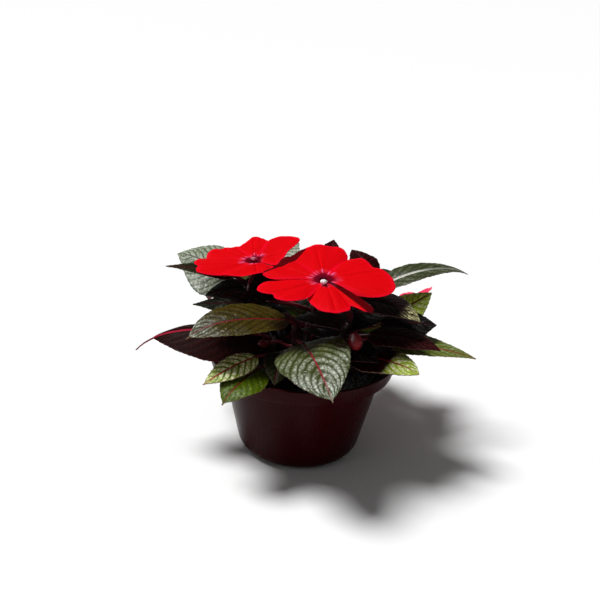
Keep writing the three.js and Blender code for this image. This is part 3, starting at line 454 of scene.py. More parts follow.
# A look's colours: low in the hollows, high on the raised cells, then the veins, the midrib and the edge.
# broad: how far to its sides the midrib's colour reaches, in mm. rib_at: the shares of the length between
# which that fades. sheen: how strong the pale sheen on the raised cells is at the two shares of the length in
# sheen_at; it is a painted highlight over the cells' own paler tone. pale: its colour. line and wander: how
# strongly the veins show and how far they stray. The dark part from the base on, which ends within its two
# shares of the length, is a painted shadow. relief is in mm.
PLAIN_LOOK = dict(
    rib_at=(0.7, 1), broad=0.65, sheen_at=(0, 1), pale=(0.5, 0.55, 0.46), line=0.7, wander=0.3, rough=0.48,
    gloss=0.05, relief=0.2,
)
LOOKS = {
    "silver": dict(
        low=(0.036, 0.048, 0.004), high=(0.095, 0.104, 0.013), vein=(0.02, 0.034, 0.006),
        rib=(0.22, 0.012, 0.025), sheen=(0.05, 1.35), sheen_at=(0.15, 0.9), line=0.5, wander=0.5,
        edge=(0.07, 0.08, 0.03), rough=0.34, gloss=0.25, relief=0.4,
    ),
    "bronze": dict(
        low=(0.034, 0.025, 0.001), high=(0.075, 0.056, 0.004), vein=(0.007, 0.004, 0.001),
        rib=(0.16, 0.006, 0.016), sheen=(0, 1.6), sheen_at=(0.62, 0.98), line=0.75, wander=0.25,
        edge=(0.09, 0.09, 0.012), rough=0.36, gloss=0.16, relief=0.3,
    ),
    "lime": dict(
        low=(0.17, 0.28, 0.006), high=(0.6, 0.7, 0.04), vein=(0.05, 0.09, 0.003), rib=(0.35, 0.012, 0.03),
        sheen=(1.6, 1.6), pale=(1, 1, 0.6), line=0.85, wander=0.2, edge=(0.2, 0.06, 0.05), rough=0.32,
        gloss=0.25, relief=0.4,
    ),
    "grass": dict(
        low=(0.05, 0.085, 0.001), high=(0.115, 0.17, 0.003), vein=(0.035, 0.065, 0.001),
        rib=(0.14, 0.02, 0.01), sheen=(0, 0.25), sheen_at=(0.5, 0.9), line=0.5, wander=0.2,
        edge=(0.1, 0.08, 0.01), rough=0.3, gloss=0.12, relief=0.25,
    ),
    "bright": dict(
        low=(0.36, 0.5, 0.015), high=(0.75, 0.85, 0.1), vein=(0.15, 0.24, 0.008), rib=(0.12, 0.012, 0.01),
        sheen=(0.9, 0.9), pale=(0.8, 0.82, 0.5), line=0.6, wander=0.5, edge=(0.12, 0.1, 0.02), rough=0.34,
        gloss=0.25, relief=0.3,
    ),
    "pale": dict(
        low=(0.17, 0.21, 0.13), high=(0.55, 0.58, 0.46), vein=(0.02, 0.035, 0.014), rib=(0.06, 0.05, 0.03),
        sheen=(0.95, 0.95), line=0.85, wander=0.5, edge=(0.05, 0.07, 0.03), rough=0.36, gloss=0.2,
        relief=0.3,
    ),
    # The pale midrib colour, reaching wide, paints a highlight streak along the midrib.
    "grey": dict(
        low=(0.03, 0.038, 0.012), high=(0.078, 0.088, 0.03), vein=(0.02, 0.026, 0.01),
        rib=(0.62, 0.62, 0.56), rib_at=(0.4, 0.62), broad=1.1, sheen=(0.12, 0.2), line=0.4,
        edge=(0.12, 0.1, 0.07), rough=0.36, gloss=0.2,
    ),
    "sunlit": dict(
        low=(0.085, 0.115, 0.003), high=(0.19, 0.22, 0.011), vein=(0.05, 0.08, 0.005), rib=(0.2, 0.03, 0.02),
        sheen=(0.1, 0.5), sheen_at=(0.3, 0.9), line=0.4, wander=0.2, edge=(0.2, 0.12, 0.04), rough=0.32,
        gloss=0.25, relief=0.25,
    ),
    # Its dark base part is a painted shadow, and the strong pale sheen near the tip a painted highlight.
    "half": dict(
        low=(0.34, 0.48, 0.015), high=(0.75, 0.85, 0.12), vein=(0.16, 0.26, 0.01), rib=(0.3, 0.02, 0.03),
        sheen=(0.9, 1.3), sheen_at=(0.4, 1), pale=(0.85, 0.88, 0.6), line=0.4, painted_shade=(0.02, 0.0015, 0.002),
        painted_shade_at=(0.56, 0.64), edge=(0.35, 0.25, 0.15), rough=0.34, gloss=0.12, relief=0.25,
    ),
    # Near-black colours paint shade, and the strong sheen near the tip paints the light on it.
    "tipped": dict(
        low=(0.008, 0.004, 0.005), high=(0.022, 0.011, 0.012), vein=(0.002, 0.0015, 0.002),
        rib=(0.012, 0.002, 0.003), sheen=(0, 1.8), sheen_at=(0.66, 0.88), pale=(0.75, 0.72, 0.36), line=0.8,
        wander=0.2, edge=(0.05, 0.04, 0.03), rough=0.44,
    ),
    # Near-black colours paint the shade under the back bloom.
    "slate": dict(
        low=(0.005, 0.006, 0.003), high=(0.018, 0.02, 0.014), vein=(0.003, 0.0035, 0.002),
        rib=(0.02, 0.003, 0.004), sheen=(0.03, 0.1), sheen_at=(0.2, 1), edge=(0.03, 0.04, 0.008), relief=0.3,
    ),
    "shade": dict(
        low=(0.012, 0.013, 0.003), high=(0.028, 0.032, 0.007), vein=(0.006, 0.006, 0.002),
        rib=(0.06, 0.006, 0.008), sheen=(0, 0.06), sheen_at=(0.2, 1), edge=(0.04, 0.035, 0.01), rough=0.46,
        gloss=0.06, relief=0.25,
    ),
    "purple": dict(
        low=(0.012, 0.0012, 0.001), high=(0.026, 0.003, 0.002), vein=(0.008, 0.001, 0.001),
        rib=(0.32, 0.012, 0.035), broad=1, sheen=(0, 0), line=0.6, wander=0.2, edge=(0.05, 0.004, 0.006),
        rough=0.5, gloss=0.04, relief=0.15,
    ),
    "maroon": dict(
        low=(0.02, 0.0012, 0.002), high=(0.042, 0.0035, 0.004), vein=(0.008, 0.001, 0.001),
        rib=(0.06, 0.004, 0.006), sheen=(0, 0.02), edge=(0.06, 0.015, 0.015),
    ),
    # Near-black colours paint the deep shade inside the plant and under the blooms.
    "black": dict(
        low=(0.003, 0.0018, 0.002), high=(0.008, 0.005, 0.006), vein=(0.002, 0.001, 0.0015),
        rib=(0.02, 0.002, 0.003), sheen=(0, 0.1), sheen_at=(0.3, 1), line=0.8, wander=0.2,
        edge=(0.012, 0.004, 0.004), rough=0.46, gloss=0.04,
    ),
}
GREEN_BELOW = ("lime", "grass", "bright", "sunlit")


def leaf_upper(name):
    look = {**PLAIN_LOOK, **LOOKS[name]}
    g = Graph("leaf_" + name)
    wander = g.times(g.maths("SUBTRACT", g.noise(140), 0.5), look["wander"])
    vein = g.maths("PINGPONG", g.maths("ADD", g.field("phase"), wander), 0.5)
    line = g.step(vein, 0.01, 0.12, 1, 0)
    cell = g.cells(480)
    net = g.step(cell, 0, 0.16, 1, 0)
    raised = g.times(g.step(vein, 0.03, 0.35), g.step(cell, 0, 0.3, 0.35, 1))
    mottle = g.noise(220, 5)
    patch = g.noise(45)
    colour = g.mix(g.times(raised, g.step(mottle, 0.3, 0.7, 0.3, 1)), look["low"], look["high"])
    # Painted sheen: a pale highlight painted on the raised cells in patches, its strength growing along the
    # blade.
    (from_share, to_share), (weak, strong) = look["sheen_at"], look["sheen"]
    spread = g.times(g.step(patch, 0.32, 0.55, 0.15, 1), g.step(mottle, 0.35, 0.62, 0.25, 1))
    painted_sheen = g.times(raised, spread, g.step(g.field("along"), from_share, to_share, weak, strong))
    colour = g.mix(painted_sheen, colour, look["pale"])
    colour = g.mix(g.times(net, 0.3), colour, look["vein"])
    colour = g.mix(g.times(line, g.step(g.field("rim"), 0.5, 4), look["line"]), colour, look["vein"])
    # A painted shadow: the blade darkens from its base on.
    if "painted_shade" in look:
        part = g.maths("ADD", g.field("along"), g.times(g.maths("SUBTRACT", patch, 0.5), 0.12))
        colour = g.mix(g.step(part, *look["painted_shade_at"], 1, 0), colour, look["painted_shade"])
    rib = g.step(g.field("out"), look["broad"] - 0.35, look["broad"], 1, 0)
    rib = g.times(rib, g.step(g.field("along"), *look["rib_at"], 1, 0.3))
    colour = g.mix(rib, colour, look["rib"])
    colour = g.mix(g.step(g.field("rim"), 0.1, 0.7, 0.85, 0), colour, look["edge"])
    height = g.maths("ADD", g.times(cell, 1.2), g.times(mottle, 0.25))
    rough = g.step(mottle, 0.3, 0.7, look["rough"] - 0.06, look["rough"] + 0.08)
    return g.finish(
        Base_Color=colour, Roughness=rough, Normal=g.bump(height, look["relief"] * MM), IOR=1.42,
        Coat_Weight=0.2 * look["gloss"], Coat_Roughness=0.22, Specular_IOR_Level=look["gloss"],
    )


def leaf_under(name):
    rib_colour = LOOKS[name]["rib"]
    g = Graph("leaf_under_" + name)
    vein = g.maths("PINGPONG", g.field("phase"), 0.5)
    line = g.times(g.step(vein, 0.02, 0.09, 1, 0), g.step(g.field("rim"), 0.5, 5))
    mottle = g.noise(150, 4)
    red = ((0.04, 0.006, 0.012), (0.08, 0.015, 0.025))
    low, high = ((0.07, 0.1, 0.02), (0.13, 0.17, 0.04)) if name in GREEN_BELOW else red
    colour = g.mix(mottle, low, high)
    colour = g.mix(g.times(line, 0.6), colour, (0.18, 0.04, 0.045))
    colour = g.mix(g.step(g.field("out"), 0.6, 1.3, 1, 0), colour, rib_colour)
    height = g.maths("ADD", g.times(line, 0.6), g.times(g.cells(430), -0.6))
    return g.finish(Base_Color=colour, Roughness=0.5, Normal=g.bump(height, 0.0004), Specular_IOR_Level=0.15)


def petal_material(name, dark, light, edge):
    g = Graph(name)
    share, across = g.field("along"), g.field("across")
    grain = g.noise(900)
    fan = g.node("CombineXYZ", {0: g.times(across, 16), 1: share}).outputs[0]
    streak = g.node("TexNoise", {"Vector": fan, "Scale": 1.6, "Detail": 3, "Roughness": 0.6}).outputs[0]
    blotch = g.node("TexNoise", {"Vector": fan, "Scale": 0.16, "Detail": 1}).outputs[0]
    colour = g.mix(g.step(streak, 0.3, 0.7), dark, light)
    colour = g.mix(g.step(g.field("rim"), 0, 3, 0.7, 0), colour, edge)
    # Painted shadow: dark red where the deep field is set, which marks the shade of the back bloom and of a
    # petal above.
    colour = g.mix(g.times(g.step(g.field("deep"), 0.2, 0.8), 0.97), colour, (0.075, 0, 0.0012))
    colour = g.mix(g.step(share, 0.06, 0.2, 1, 0), colour, (0.13, 0, 0.009))
    flare = g.times(g.step(share, 0.1, 0.15), g.step(share, 0.17, 0.27, 1, 0), g.step(streak, 0.42, 0.6))
    colour = g.mix(g.times(flare, g.step(blotch, 0.5, 0.56, 0.08, 0.9)), colour, (0.8, 0.2, 0.5))
    height = g.maths("ADD", streak, g.times(grain, 0.35))
    return g.finish(
        Base_Color=colour, Roughness=0.6, Normal=g.bump(height, 0.0002), Sheen_Weight=0.02,
        Sheen_Roughness=0.4, Sheen_Tint=(1, 0.1, 0.25), Specular_IOR_Level=0.04, IOR=1.38,
    )


def flesh_material(name, low, high, rough=0.38):
    """The smooth skin of stems, stalks, buds and sepals, with faint lengthwise streaks."""
    g = Graph(name)
    streak = g.noise(260, stretch=(1, 1, 0.25))
    blotch = g.noise(60, 2)
    colour = g.mix(g.step(g.maths("MULTIPLY", streak, blotch), 0.15, 0.38), low, high)
    return g.finish(
        Base_Color=colour, Roughness=rough, Normal=g.bump(streak, 0.0003), Specular_IOR_Level=0.15,
    )


def pot_material():
    g = Graph("pot_plastic")
    cloud = g.noise(28)
    dust = g.noise(700, 2)
    scuff = g.noise(150, 4, stretch=(1, 1, 0.06))
    colour = g.mix(cloud, (0.017, 0.0003, 0.0008), (0.025, 0.0006, 0.0016))
    colour = g.mix(g.step(dust, 0.72, 0.8, 0, 0.25), colour, (0.2, 0.1, 0.09))
    rough = g.step(scuff, 0.35, 0.7, 0.26, 0.34)
    height = g.maths("ADD", cloud, g.times(scuff, 0.04))
    normal = g.bump(height, 0.00025)
    return g.finish(Base_Color=colour, Roughness=rough, Normal=normal, IOR=1.12)


def soil_material():
    g = Graph("soil")
    lump = g.noise(260, 5, 0.7)
    colour = g.mix(g.step(lump, 0.35, 0.7), (0.006, 0.004, 0.003), (0.04, 0.026, 0.018))
    colour = g.mix(g.step(g.noise(1100, 2), 0.66, 0.74, 0, 0.5), colour, (0.12, 0.085, 0.05))
    return g.finish(Base_Color=colour, Roughness=0.95, Normal=g.bump(lump, 0.0012), IOR=1.3)


def anther_material(name, low, high):
    g = Graph(name)
    grain = g.noise(1500)
    colour = g.mix(grain, low, high)
    return g.finish(Base_Color=colour, Roughness=0.6, Normal=g.bump(grain, 0.0002))


UPPER = {look: leaf_upper(look) for look in LOOKS}
UNDER = {look: leaf_under(look) for look in LOOKS}
PETAL = petal_material("petal", (0.64, 0, 0.002), (0.76, 0, 0.004), (0.86, 0.001, 0.02))
FADED_PETAL = petal_material("faded_petal", (0.78, 0.03, 0.09), (0.88, 0.06, 0.13), (0.95, 0.12, 0.2))
STEM = flesh_material("stem_skin", (0.014, 0.002, 0.0025), (0.05, 0.007, 0.008))
STALK = flesh_material("stalk_skin", (0.05, 0.003, 0.006), (0.13, 0.01, 0.018))
BUD = flesh_material("bud_skin", (0.08, 0.001, 0.003), (0.16, 0.002, 0.007), 0.5)
PLASTIC = pot_material()
EARTH = soil_material()
ANTHER = anther_material("anther", (0.75, 0.68, 0.7), (0.92, 0.9, 0.92))
OLD_ANTHER = anther_material("old_anther", (0.3, 0.005, 0.04), (0.6, 0.12, 0.22))


def place_piece(obj, node):
    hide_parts(node)
    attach(obj, "root")


# ---- pot


def rounded(corners, steps=6):
    """A profile through corners: each is a radius, a height and how far from it the rounding starts."""
    line = []
    for k, (r, z, cut) in enumerate(corners):
        here = np.array([r, z], float)
        if not cut:
            line.append(here)
            continue
        before = unit(np.array(corners[k - 1][:2]) - here)
        after = unit(np.array(corners[k + 1][:2]) - here)
        a, b = here + before * cut, here + after * cut
        line.extend(bend(a, here, b, t) for t in np.linspace(0, 1, steps + 1))
    return np.array(line)


def make_pot():
    rise = POT["height"] - POT["collar"]
    wall = POT["wall"]
    lean = math.atan2(POT["shoulder"] - POT["foot"] - POT["corner"], rise - POT["corner"])

    def corner(inset):
        radius = POT["corner"] - inset
        turns = np.linspace(-math.pi / 2, -lean, 14)
        return [(POT["foot"] + radius * math.cos(t), POT["corner"] + radius * math.sin(t), 0) for t in turns]

    outside = [(0, 0, 0), (12, 0, 0)] + corner(0)
    outside += [
        (POT["shoulder"], rise, 0.8),
        (POT["collar_foot"], rise, 0.7),
        (POT["rim"], POT["height"], 0.7),
        (POT["rim"] - 1.8, POT["height"], 0.6),
        (POT["collar_foot"] - wall, rise + wall, 1.5),
        (POT["shoulder"] - wall, rise + wall, 1),
    ]
    profile = rounded(outside + corner(wall)[::-1] + [(0, wall, 0)])
    sides = 160
    turns = turns_of(sides)
    ring = np.stack([np.cos(turns), np.sin(turns)], 1)
    body = profile[1:-1]
    points = [np.column_stack([ring * r, np.full(sides, z)]) for r, z in body]
    shape = Shape()
    faces = grid_faces(len(body), sides, closed=True) + end_faces(len(body), sides)
    shape.add(np.concatenate(points), [face[::-1] for face in faces])
    pot = shape.build("pot_shell", [PLASTIC])
    cutters = Shape()
    steps = 40
    arch = turns_of(steps)[:, None]
    for k in range(DRAINS["count"]):
        out = toward(DRAINS["first"] + k * 360 / DRAINS["count"], 0)
        side = np.cross(Z, out)
        hole = side * np.cos(arch) * DRAINS["width"] / 2 + Z * np.sin(arch) * DRAINS["height"]
        ends = [out * (POT["corner"] + POT["foot"] * share) + hole for share in (0.5, 1.5)]
        cutters.add(np.concatenate(ends), grid_faces(2, steps, closed=True) + end_faces(2, steps))
    cutter = cutters.build("pot_cutter", [])
    cut = pot.modifiers.new("drains", "BOOLEAN")
    cut.operation, cut.object, cut.solver = "DIFFERENCE", cutter, "EXACT"
    whole = bpy.data.meshes.new_from_object(pot.evaluated_get(bpy.context.evaluated_depsgraph_get()))
    pot.modifiers.clear()
    pot.data = whole
    bpy.data.objects.remove(cutter)
    pot.data.set_sharp_from_angle(angle=math.radians(40))
    place_piece(pot, "pot")


# ---- soil


def soil_height(x, y, reach):
    """The soil's height without its grains, for numbers or arrays."""
    crown = lerp(SOIL["crown"], SOIL["edge"], smoothstep(reach, SOIL["level"], SOIL["radius"]))
    return crown + 0.9 * np.sin(x * 0.31 + 1) * np.sin(y * 0.37 + 2) * (reach < SOIL["lumpy"])


def make_soil():
    rng = np.random.default_rng(11)
    shape = Shape()
    rings, sides = 34, 110
    radii = np.linspace(0.4, SOIL["radius"], rings)
    turns = turns_of(sides)
    r, t = np.meshgrid(radii, turns, indexing="ij")
    x, y = r * np.cos(t), r * np.sin(t)
    height = soil_height(x, y, r) + 0.35 * wobble(3, x, y) + rng.uniform(-0.25, 0.25, x.shape)
    top = np.stack([x, y, height], -1).reshape(-1, 3)
    faces = [face[::-1] for face in grid_faces(rings, sides, closed=True)] + [tuple(range(sides))]
    ring = np.stack([np.cos(turns), np.sin(turns)], 1) * SOIL["foot_radius"]
    skirt = np.column_stack([ring, np.full(sides, SOIL["foot"])])
    base = (rings - 1) * sides
    body = grid_faces(2, sides, closed=True) + end_faces(2, sides)[1:]
    faces += [tuple(base + k for k in face) for face in body]
    shape.add(np.vstack([top, skirt]), faces)
    bm = bmesh.new()
    bmesh.ops.create_icosphere(bm, subdivisions=1, radius=1)
    ball = np.array([v.co[:] for v in bm.verts])
    ball_faces = [tuple(v.index for v in f.verts) for f in bm.faces]
    bm.free()
    for _ in range(SOIL["grains"]):
        reach = SOIL["radius"] * 0.97 * math.sqrt(rng.uniform())
        turn = rng.uniform(0, 2 * math.pi)
        size = rng.uniform(0.35, 1.1) * rng.uniform(0.7, 1.3, 3)
        x, y = reach * math.cos(turn), reach * math.sin(turn)
        spot = np.array([x, y, soil_height(x, y, reach) + 0.1])
        shape.add(ball * size * rng.uniform(0.8, 1.2, ball.shape) + spot, ball_faces)
    place_piece(shape.build("soil_surface", [EARTH]), "soil")


# ---- leaves


def blade_line(base, tip, arch, roll):
    """The four handles of a blade's midrib curve, and the way its upper side faces."""
    base, tip = np.array(base, float), np.array(tip, float)
    chord = tip - base
    way = unit(chord)
    up = turned(unit(Z - way * way[2]), way, roll)
    handles = [base + chord * share + up * lift for share, lift in zip((0.3, 0.75), arch)]
    return (base, handles[0], handles[1], tip), up


def add_blade(
    shape, name, base, tip, arch, width, roll, fold, taper, tail, slots=(0, 1), teeth=None, quilt=1
):
    """A leaf blade: a folded, arched sheet with sunk veins, raised cells between them and a toothed edge."""
    seed = seed_of(name)
    length = np.linalg.norm(np.subtract(tip, base))
    teeth = teeth or int(length / BLADE["tooth_length"])
    rows = teeth * 4 + 1
    u = np.linspace(0, 1, rows)
    half = np.array([0, 0.025, 0.06, 0.12, 0.2, 0.28, 0.36, 0.44, 0.52, 0.6, 0.68, 0.76, 0.84, 0.91, 0.96, 1])
    if width < 18:
        half = half[[0, 1, 2, 3, 5, 7, 9, 11, 13, 14, 15]]
    v = np.concatenate([-half[:0:-1], half])
    points, up = blade_line(base, tip, arch, roll)
    centre, tangent = bezier(points, u)
    normal = unit(up - tangent * (tangent @ up)[:, None])
    side = np.cross(normal, tangent)
    # half widths along the blade
    swell = 0.6
    peak = swell / (swell + taper)
    ends = lerp(1.3, 0.35, u)
    share = np.minimum(1, u / (1 - tail))
    swollen = share**swell * (1 - share) ** taper / (peak**swell * (1 - peak) ** taper)
    half_width = ends + (width / 2 - ends) * swollen
    U, V = np.meshgrid(u, v, indexing="ij")
    W, H = np.abs(V), half_width[:, None] * np.ones_like(V)
    # teeth
    saw = ((U * teeth) % 1) ** 1.5 - 0.45
    bite = BLADE["tooth"] * saw * smoothstep(U, 0.02, 0.1) * smoothstep(U, 1, 0.93) * smoothstep(W, 0.9, 1)
    reach = V * H + np.sign(V) * bite
    angle = math.radians(fold)
    # veins, and cells raised between them
    count = BLADE["veins"] + width / 18
    phase = count * (U - (0.3 * width / 30 + 0.03) * W**1.3) + np.where(V > 0, 0.42, 0) + seed % 7 * 0.13
    gap = np.abs(phase - np.round(phase))
    depth = quilt * BLADE["quilt"] * H**0.8
    cell = (1 - np.exp(-((gap / 0.17) ** 2))) * depth * smoothstep(W, 0.03, 0.3) * (1 - 0.55 * W**3)
    # the middle of the sheet, and its two skins
    wave = wobble(seed, U * 7, V * 2) * 0.05 * H * W**1.5 + wobble(seed + 1, U * 22, V) * 0.028 * H * W**3
    groove = BLADE["groove"] * np.exp(-((reach / 0.8) ** 2)) * (1 - U) ** 0.4
    lift = H * (W * math.sin(angle) - 0.12 * W * W) + cell + wave - groove - 0.5 * depth
    place = centre[:, None] + side[:, None] * (reach * math.cos(angle))[..., None]
    middle = place + normal[:, None] * lift[..., None]
    thick = BLADE["thick"] * (1 - 0.55 * W**4)
    keel = BLADE["keel"] * np.exp(-((reach / 0.7) ** 2)) * (1 - U) ** 0.6
    front = middle + normal[:, None] * (thick / 2)[..., None]
    back = middle - normal[:, None] * (thick / 2 + keel)[..., None]
    add_slab(shape, front, back, slots, along=U, phase=phase, out=np.abs(reach), rim=H * (1 - W))


def make_leaves():
    for key, (_, _, *form, look) in LEAVES.items():
        name = "leaf_" + key
        shape = Shape()
        add_blade(shape, name, *form, *OUTLINES.get(key, PLAIN_OUTLINE))
        place_piece(shape.build(name + "_blade", [UPPER[look], UNDER[look]]), name)


# ---- stems


def make_stem(name):
    """A stem with the stalks of its leaves and the young leaves at its tip."""
    shape = Shape()
    curve = STEM_CURVES[name][::5]
    share = np.linspace(0, 1, len(curve))
    knots = 1 + 0.12 * np.exp(-(((share * 5) % 1 - 0.5) / 0.12) ** 2)
    add_tube(shape, curve, lerp(*STEM_RADII, share) * knots, 18)
    for stem, at, base, tip, arch, _, roll, *_ in LEAVES.values():
        if stem != name:
            continue
        points, _ = blade_line(base, tip, arch, roll)
        heading = unit(points[1] - points[0])
        root, end = along(STEM_CURVES[name], at), points[0] + heading * STALK_IN_BLADE
        pull = points[0] - heading * 0.45 * np.linalg.norm(points[0] - root)
        t = np.linspace(0, 1, 22)[:, None]
        line = bend(root, pull, end, t)
        radii = LEAF_STALK_RADIUS * (0.86 + 0.4 * (1 - t[:, 0]) ** 6)
        radii[-5:] *= np.array([0.95, 0.85, 0.7, 0.5, 0.3])
        add_tube(shape, line, radii, 10, 1)
    first, count, size = SHOOTS[name]
    tip_at = along(STEM_CURVES[name], SHOOT["at"])
    for k in range(count):
        way = toward(first + k * SHOOT["turn"], SHOOT["rise"] + k * SHOOT["step_up"])
        small = size * SHOOT["shrink"] ** k
        end = tip_at + way * SHOOT["length"] * small
        form = (SHOOT["arch"], SHOOT["width"] * small, 0, SHOOT["fold"], *PLAIN_OUTLINE)
        add_blade(shape, name + str(k), tip_at, end, *form, slots=(2, 3), teeth=7, quilt=0.6)
    obj = shape.build(f"stem_{name}_skin", [STEM, STALK, UPPER["shade"], UNDER["shade"]])
    place_piece(obj, "stem_" + name)


# ---- blooms


def through(values, v):
    """A smooth curve through values standing at even steps from -1 to 1, read at v."""
    values = np.asarray(values, float)
    x = (v + 1) / 2 * (len(values) - 1)
    k = np.clip(np.floor(x).astype(int), 0, len(values) - 2)
    f = x - k
    run = np.concatenate([[2 * values[0] - values[1]], values, [2 * values[-1] - values[-2]]])
    a, b, c, d = run[k], run[k + 1], run[k + 2], run[k + 3]
    return b + 0.5 * f * (c - a + f * (2 * a - 5 * b + 4 * c - d + f * (3 * (b - c) + d - a)))


def stalk_start(stem, share, way):
    """A stalk's first two points: just inside its stem's skin, and a little way straight out from there."""
    outward = unit(way)
    foot = along(STEM_CURVES[stem], share) + outward * (lerp(*STEM_RADII, share) - STALK_IN_STEM)
    return [foot, foot + outward * STALK_STRAIGHT]


class Bloom:
    """An open flower: x and y lie in its own plane, and z points the way it faces."""

    def __init__(self, name, data):
        self.name, self.data = name, data
        self.centre = np.array(data["centre"], float)
        self.normal = toward(data["heading"], 90 - data["tilt"])
        self.right = unit(np.array([1.0, 0, 0]) - self.normal * self.normal[0])
        self.away = np.cross(self.normal, self.right)

    def at(self, x, y, z):
        """The place at x, y and z of the bloom."""
        x, y, z = (np.asarray(k, float)[..., None] for k in (x, y, z))
        return self.centre + self.right * x + self.away * y + self.normal * z

    def under(self, drop):
        return self.centre - self.normal * drop

    def add_petal(self, shape, k, turn, spread, ends, slopes, droop, cleft=0, depth=0, shadow_from=1):
        seed = seed_of(self.name) + k
        t, v = sheet(44, 61)
        edge = through(ends, v) * (1 - depth * np.exp(-(((v - cleft) / 0.09) ** 2)))
        edge = edge * (1 + 0.01 * wobble(seed, v * 9)) * (1 - 0.1 * smoothstep(np.abs(v), 0.86, 1) ** 2)
        reach = lerp(1.9, edge, t)
        opened = 0.9 + 0.1 * np.sin(np.minimum(1, t * 1.25) * math.pi / 2)
        angle = np.radians(turn + v * spread * opened)
        height = lerp(*slopes, (v + 1) / 2) * reach - droop * t**2 + 0.06 * reach * (1 - v * v)
        height = height + 0.5 * wobble(seed + 5, t * 4, v * 3) * t**1.5
        height = height + 0.35 * wobble(seed + 9, v * 10) * t**4
        crease = 0.5 * np.exp(-((v / 0.06) ** 2)) * smoothstep(t, 0.05, 0.5) * smoothstep(t, 1, 0.7)
        height = height - crease
        x, y = reach * np.cos(angle), reach * np.sin(angle)
        middle = self.at(x, y, height)
        thick = (PETAL_THICKNESS * (1 - 0.5 * t**4))[..., None] * self.normal / 2
        # A painted shadow: set inside the bloom's shadow circle (the back bloom's shade) and across the petal
        # past its set share (the shade of the petal above).
        (shadow_x, shadow_y), shadow_radius = self.data["deep"]
        deep = smoothstep(shadow_radius - np.hypot(x - shadow_x, y - shadow_y), -0.4, 0.4)
        deep = np.maximum(deep, smoothstep(v, shadow_from, shadow_from + 0.05))
        rim = np.minimum(edge - reach, (1 - np.abs(v)) * np.radians(spread) * reach)
        fields = dict(along=t, across=v + k * 2.3, rim=rim, deep=deep)
        add_slab(shape, middle + thick, middle - thick, (0, 0), **fields)

    def petals(self):
        shape = Shape()
        for k, petal in enumerate(self.data["petals"]):
            self.add_petal(shape, k, *petal)
        sides = 28
        turns = turns_of(sides)
        points = [self.at(r * np.cos(turns), r * np.sin(turns), np.full(sides, z)) for r, z in THROAT]
        faces = grid_faces(len(THROAT), sides, closed=True)
        last = (len(THROAT) - 1) * sides
        faces += [(last + j, j, (j + 1) % sides, last + (j + 1) % sides) for j in range(sides)]
        shape.add(np.concatenate(points), faces, 0, along=0.03, rim=5)
        obj = shape.build(self.name + "_corolla", [FADED_PETAL if self.name == "bloom_side" else PETAL])
        place_piece(obj, self.name + "_petals")

    def column(self):
        """Five anthers joined in a cap on short filaments, which lean out over the throat's lower lip."""
        shape = Shape()
        rows, sides, anthers = 16, 24, 5
        turns = turns_of(sides)
        u, v = np.meshgrid(np.linspace(0.02, math.pi - 0.02, rows), turns, indexing="ij")
        lobed = 1 + 0.16 * np.cos(anthers * v) * np.sin(u)
        x = CAP["wide"] * np.sin(u) * np.cos(v) * lobed
        y = CAP["long"] * np.sin(u) * np.sin(v) * lobed - self.data["cap"]
        faces = [face[::-1] for face in grid_faces(rows, sides, closed=True)] + end_faces(rows, sides)
        shape.add(self.at(x, y, CAP["height"] + CAP["thick"] * np.cos(u)), faces)
        t = np.linspace(0, 1, 8)
        for a in turns_of(anthers):
            y = 0.9 * math.sin(a) - 0.4 - (self.data["cap"] - 0.6) * t**1.5
            line = self.at(np.full(8, 0.9 * math.cos(a)), y, lerp(0.2, CAP["height"] - 0.3, t**0.6))
            add_tube(shape, line, CAP["filament"], 8, 1)
        caps = ANTHER if self.name == "bloom_front" else OLD_ANTHER
        obj = shape.build(self.name + "_anthers", [caps, STALK])
        place_piece(obj, self.name + "_column")

    def stalk(self):
        """The stalk, the spur and a sepal at each side, which grow together under the flower."""
        stem, share, outward, waypoint = self.data["stalk"]
        shape = Shape()
        path = [*stalk_start(stem, share, outward), waypoint, self.under(SEAT + 5), self.under(SEAT - 0.6)]
        add_tube(shape, smooth_curve(path, 40), BLOOM_STALK_RADIUS)
        spur = smooth_curve([self.under(SEAT + 1)] + self.data["spur"], 36)
        t = np.linspace(0, 1, len(spur))
        add_tube(shape, spur, lerp(1.15, 0.42, t) * (1 + 0.5 * np.exp(-((t - 1) / 0.06) ** 2)), slot=1)
        t, v = sheet(22, 13)
        half = SEPAL["half_width"] * np.sin(math.pi * np.minimum(t * 0.94 + 0.04, 1)) ** 0.75 + 0.08
        z = -2.6 - 2.4 * t + 1.5 * t**2 - 0.35 * v**2 * half
        for k in (-1, 1):
            top = self.at(k * (SEPAL["start"] + SEPAL["length"] * t), v * half * k, z)
            add_slab(shape, top, top - self.normal * SEPAL["thick"], (0, 0))
        obj = shape.build(self.name + "_pedicel", [STALK, BUD])
        place_piece(obj, self.name + "_stalk")


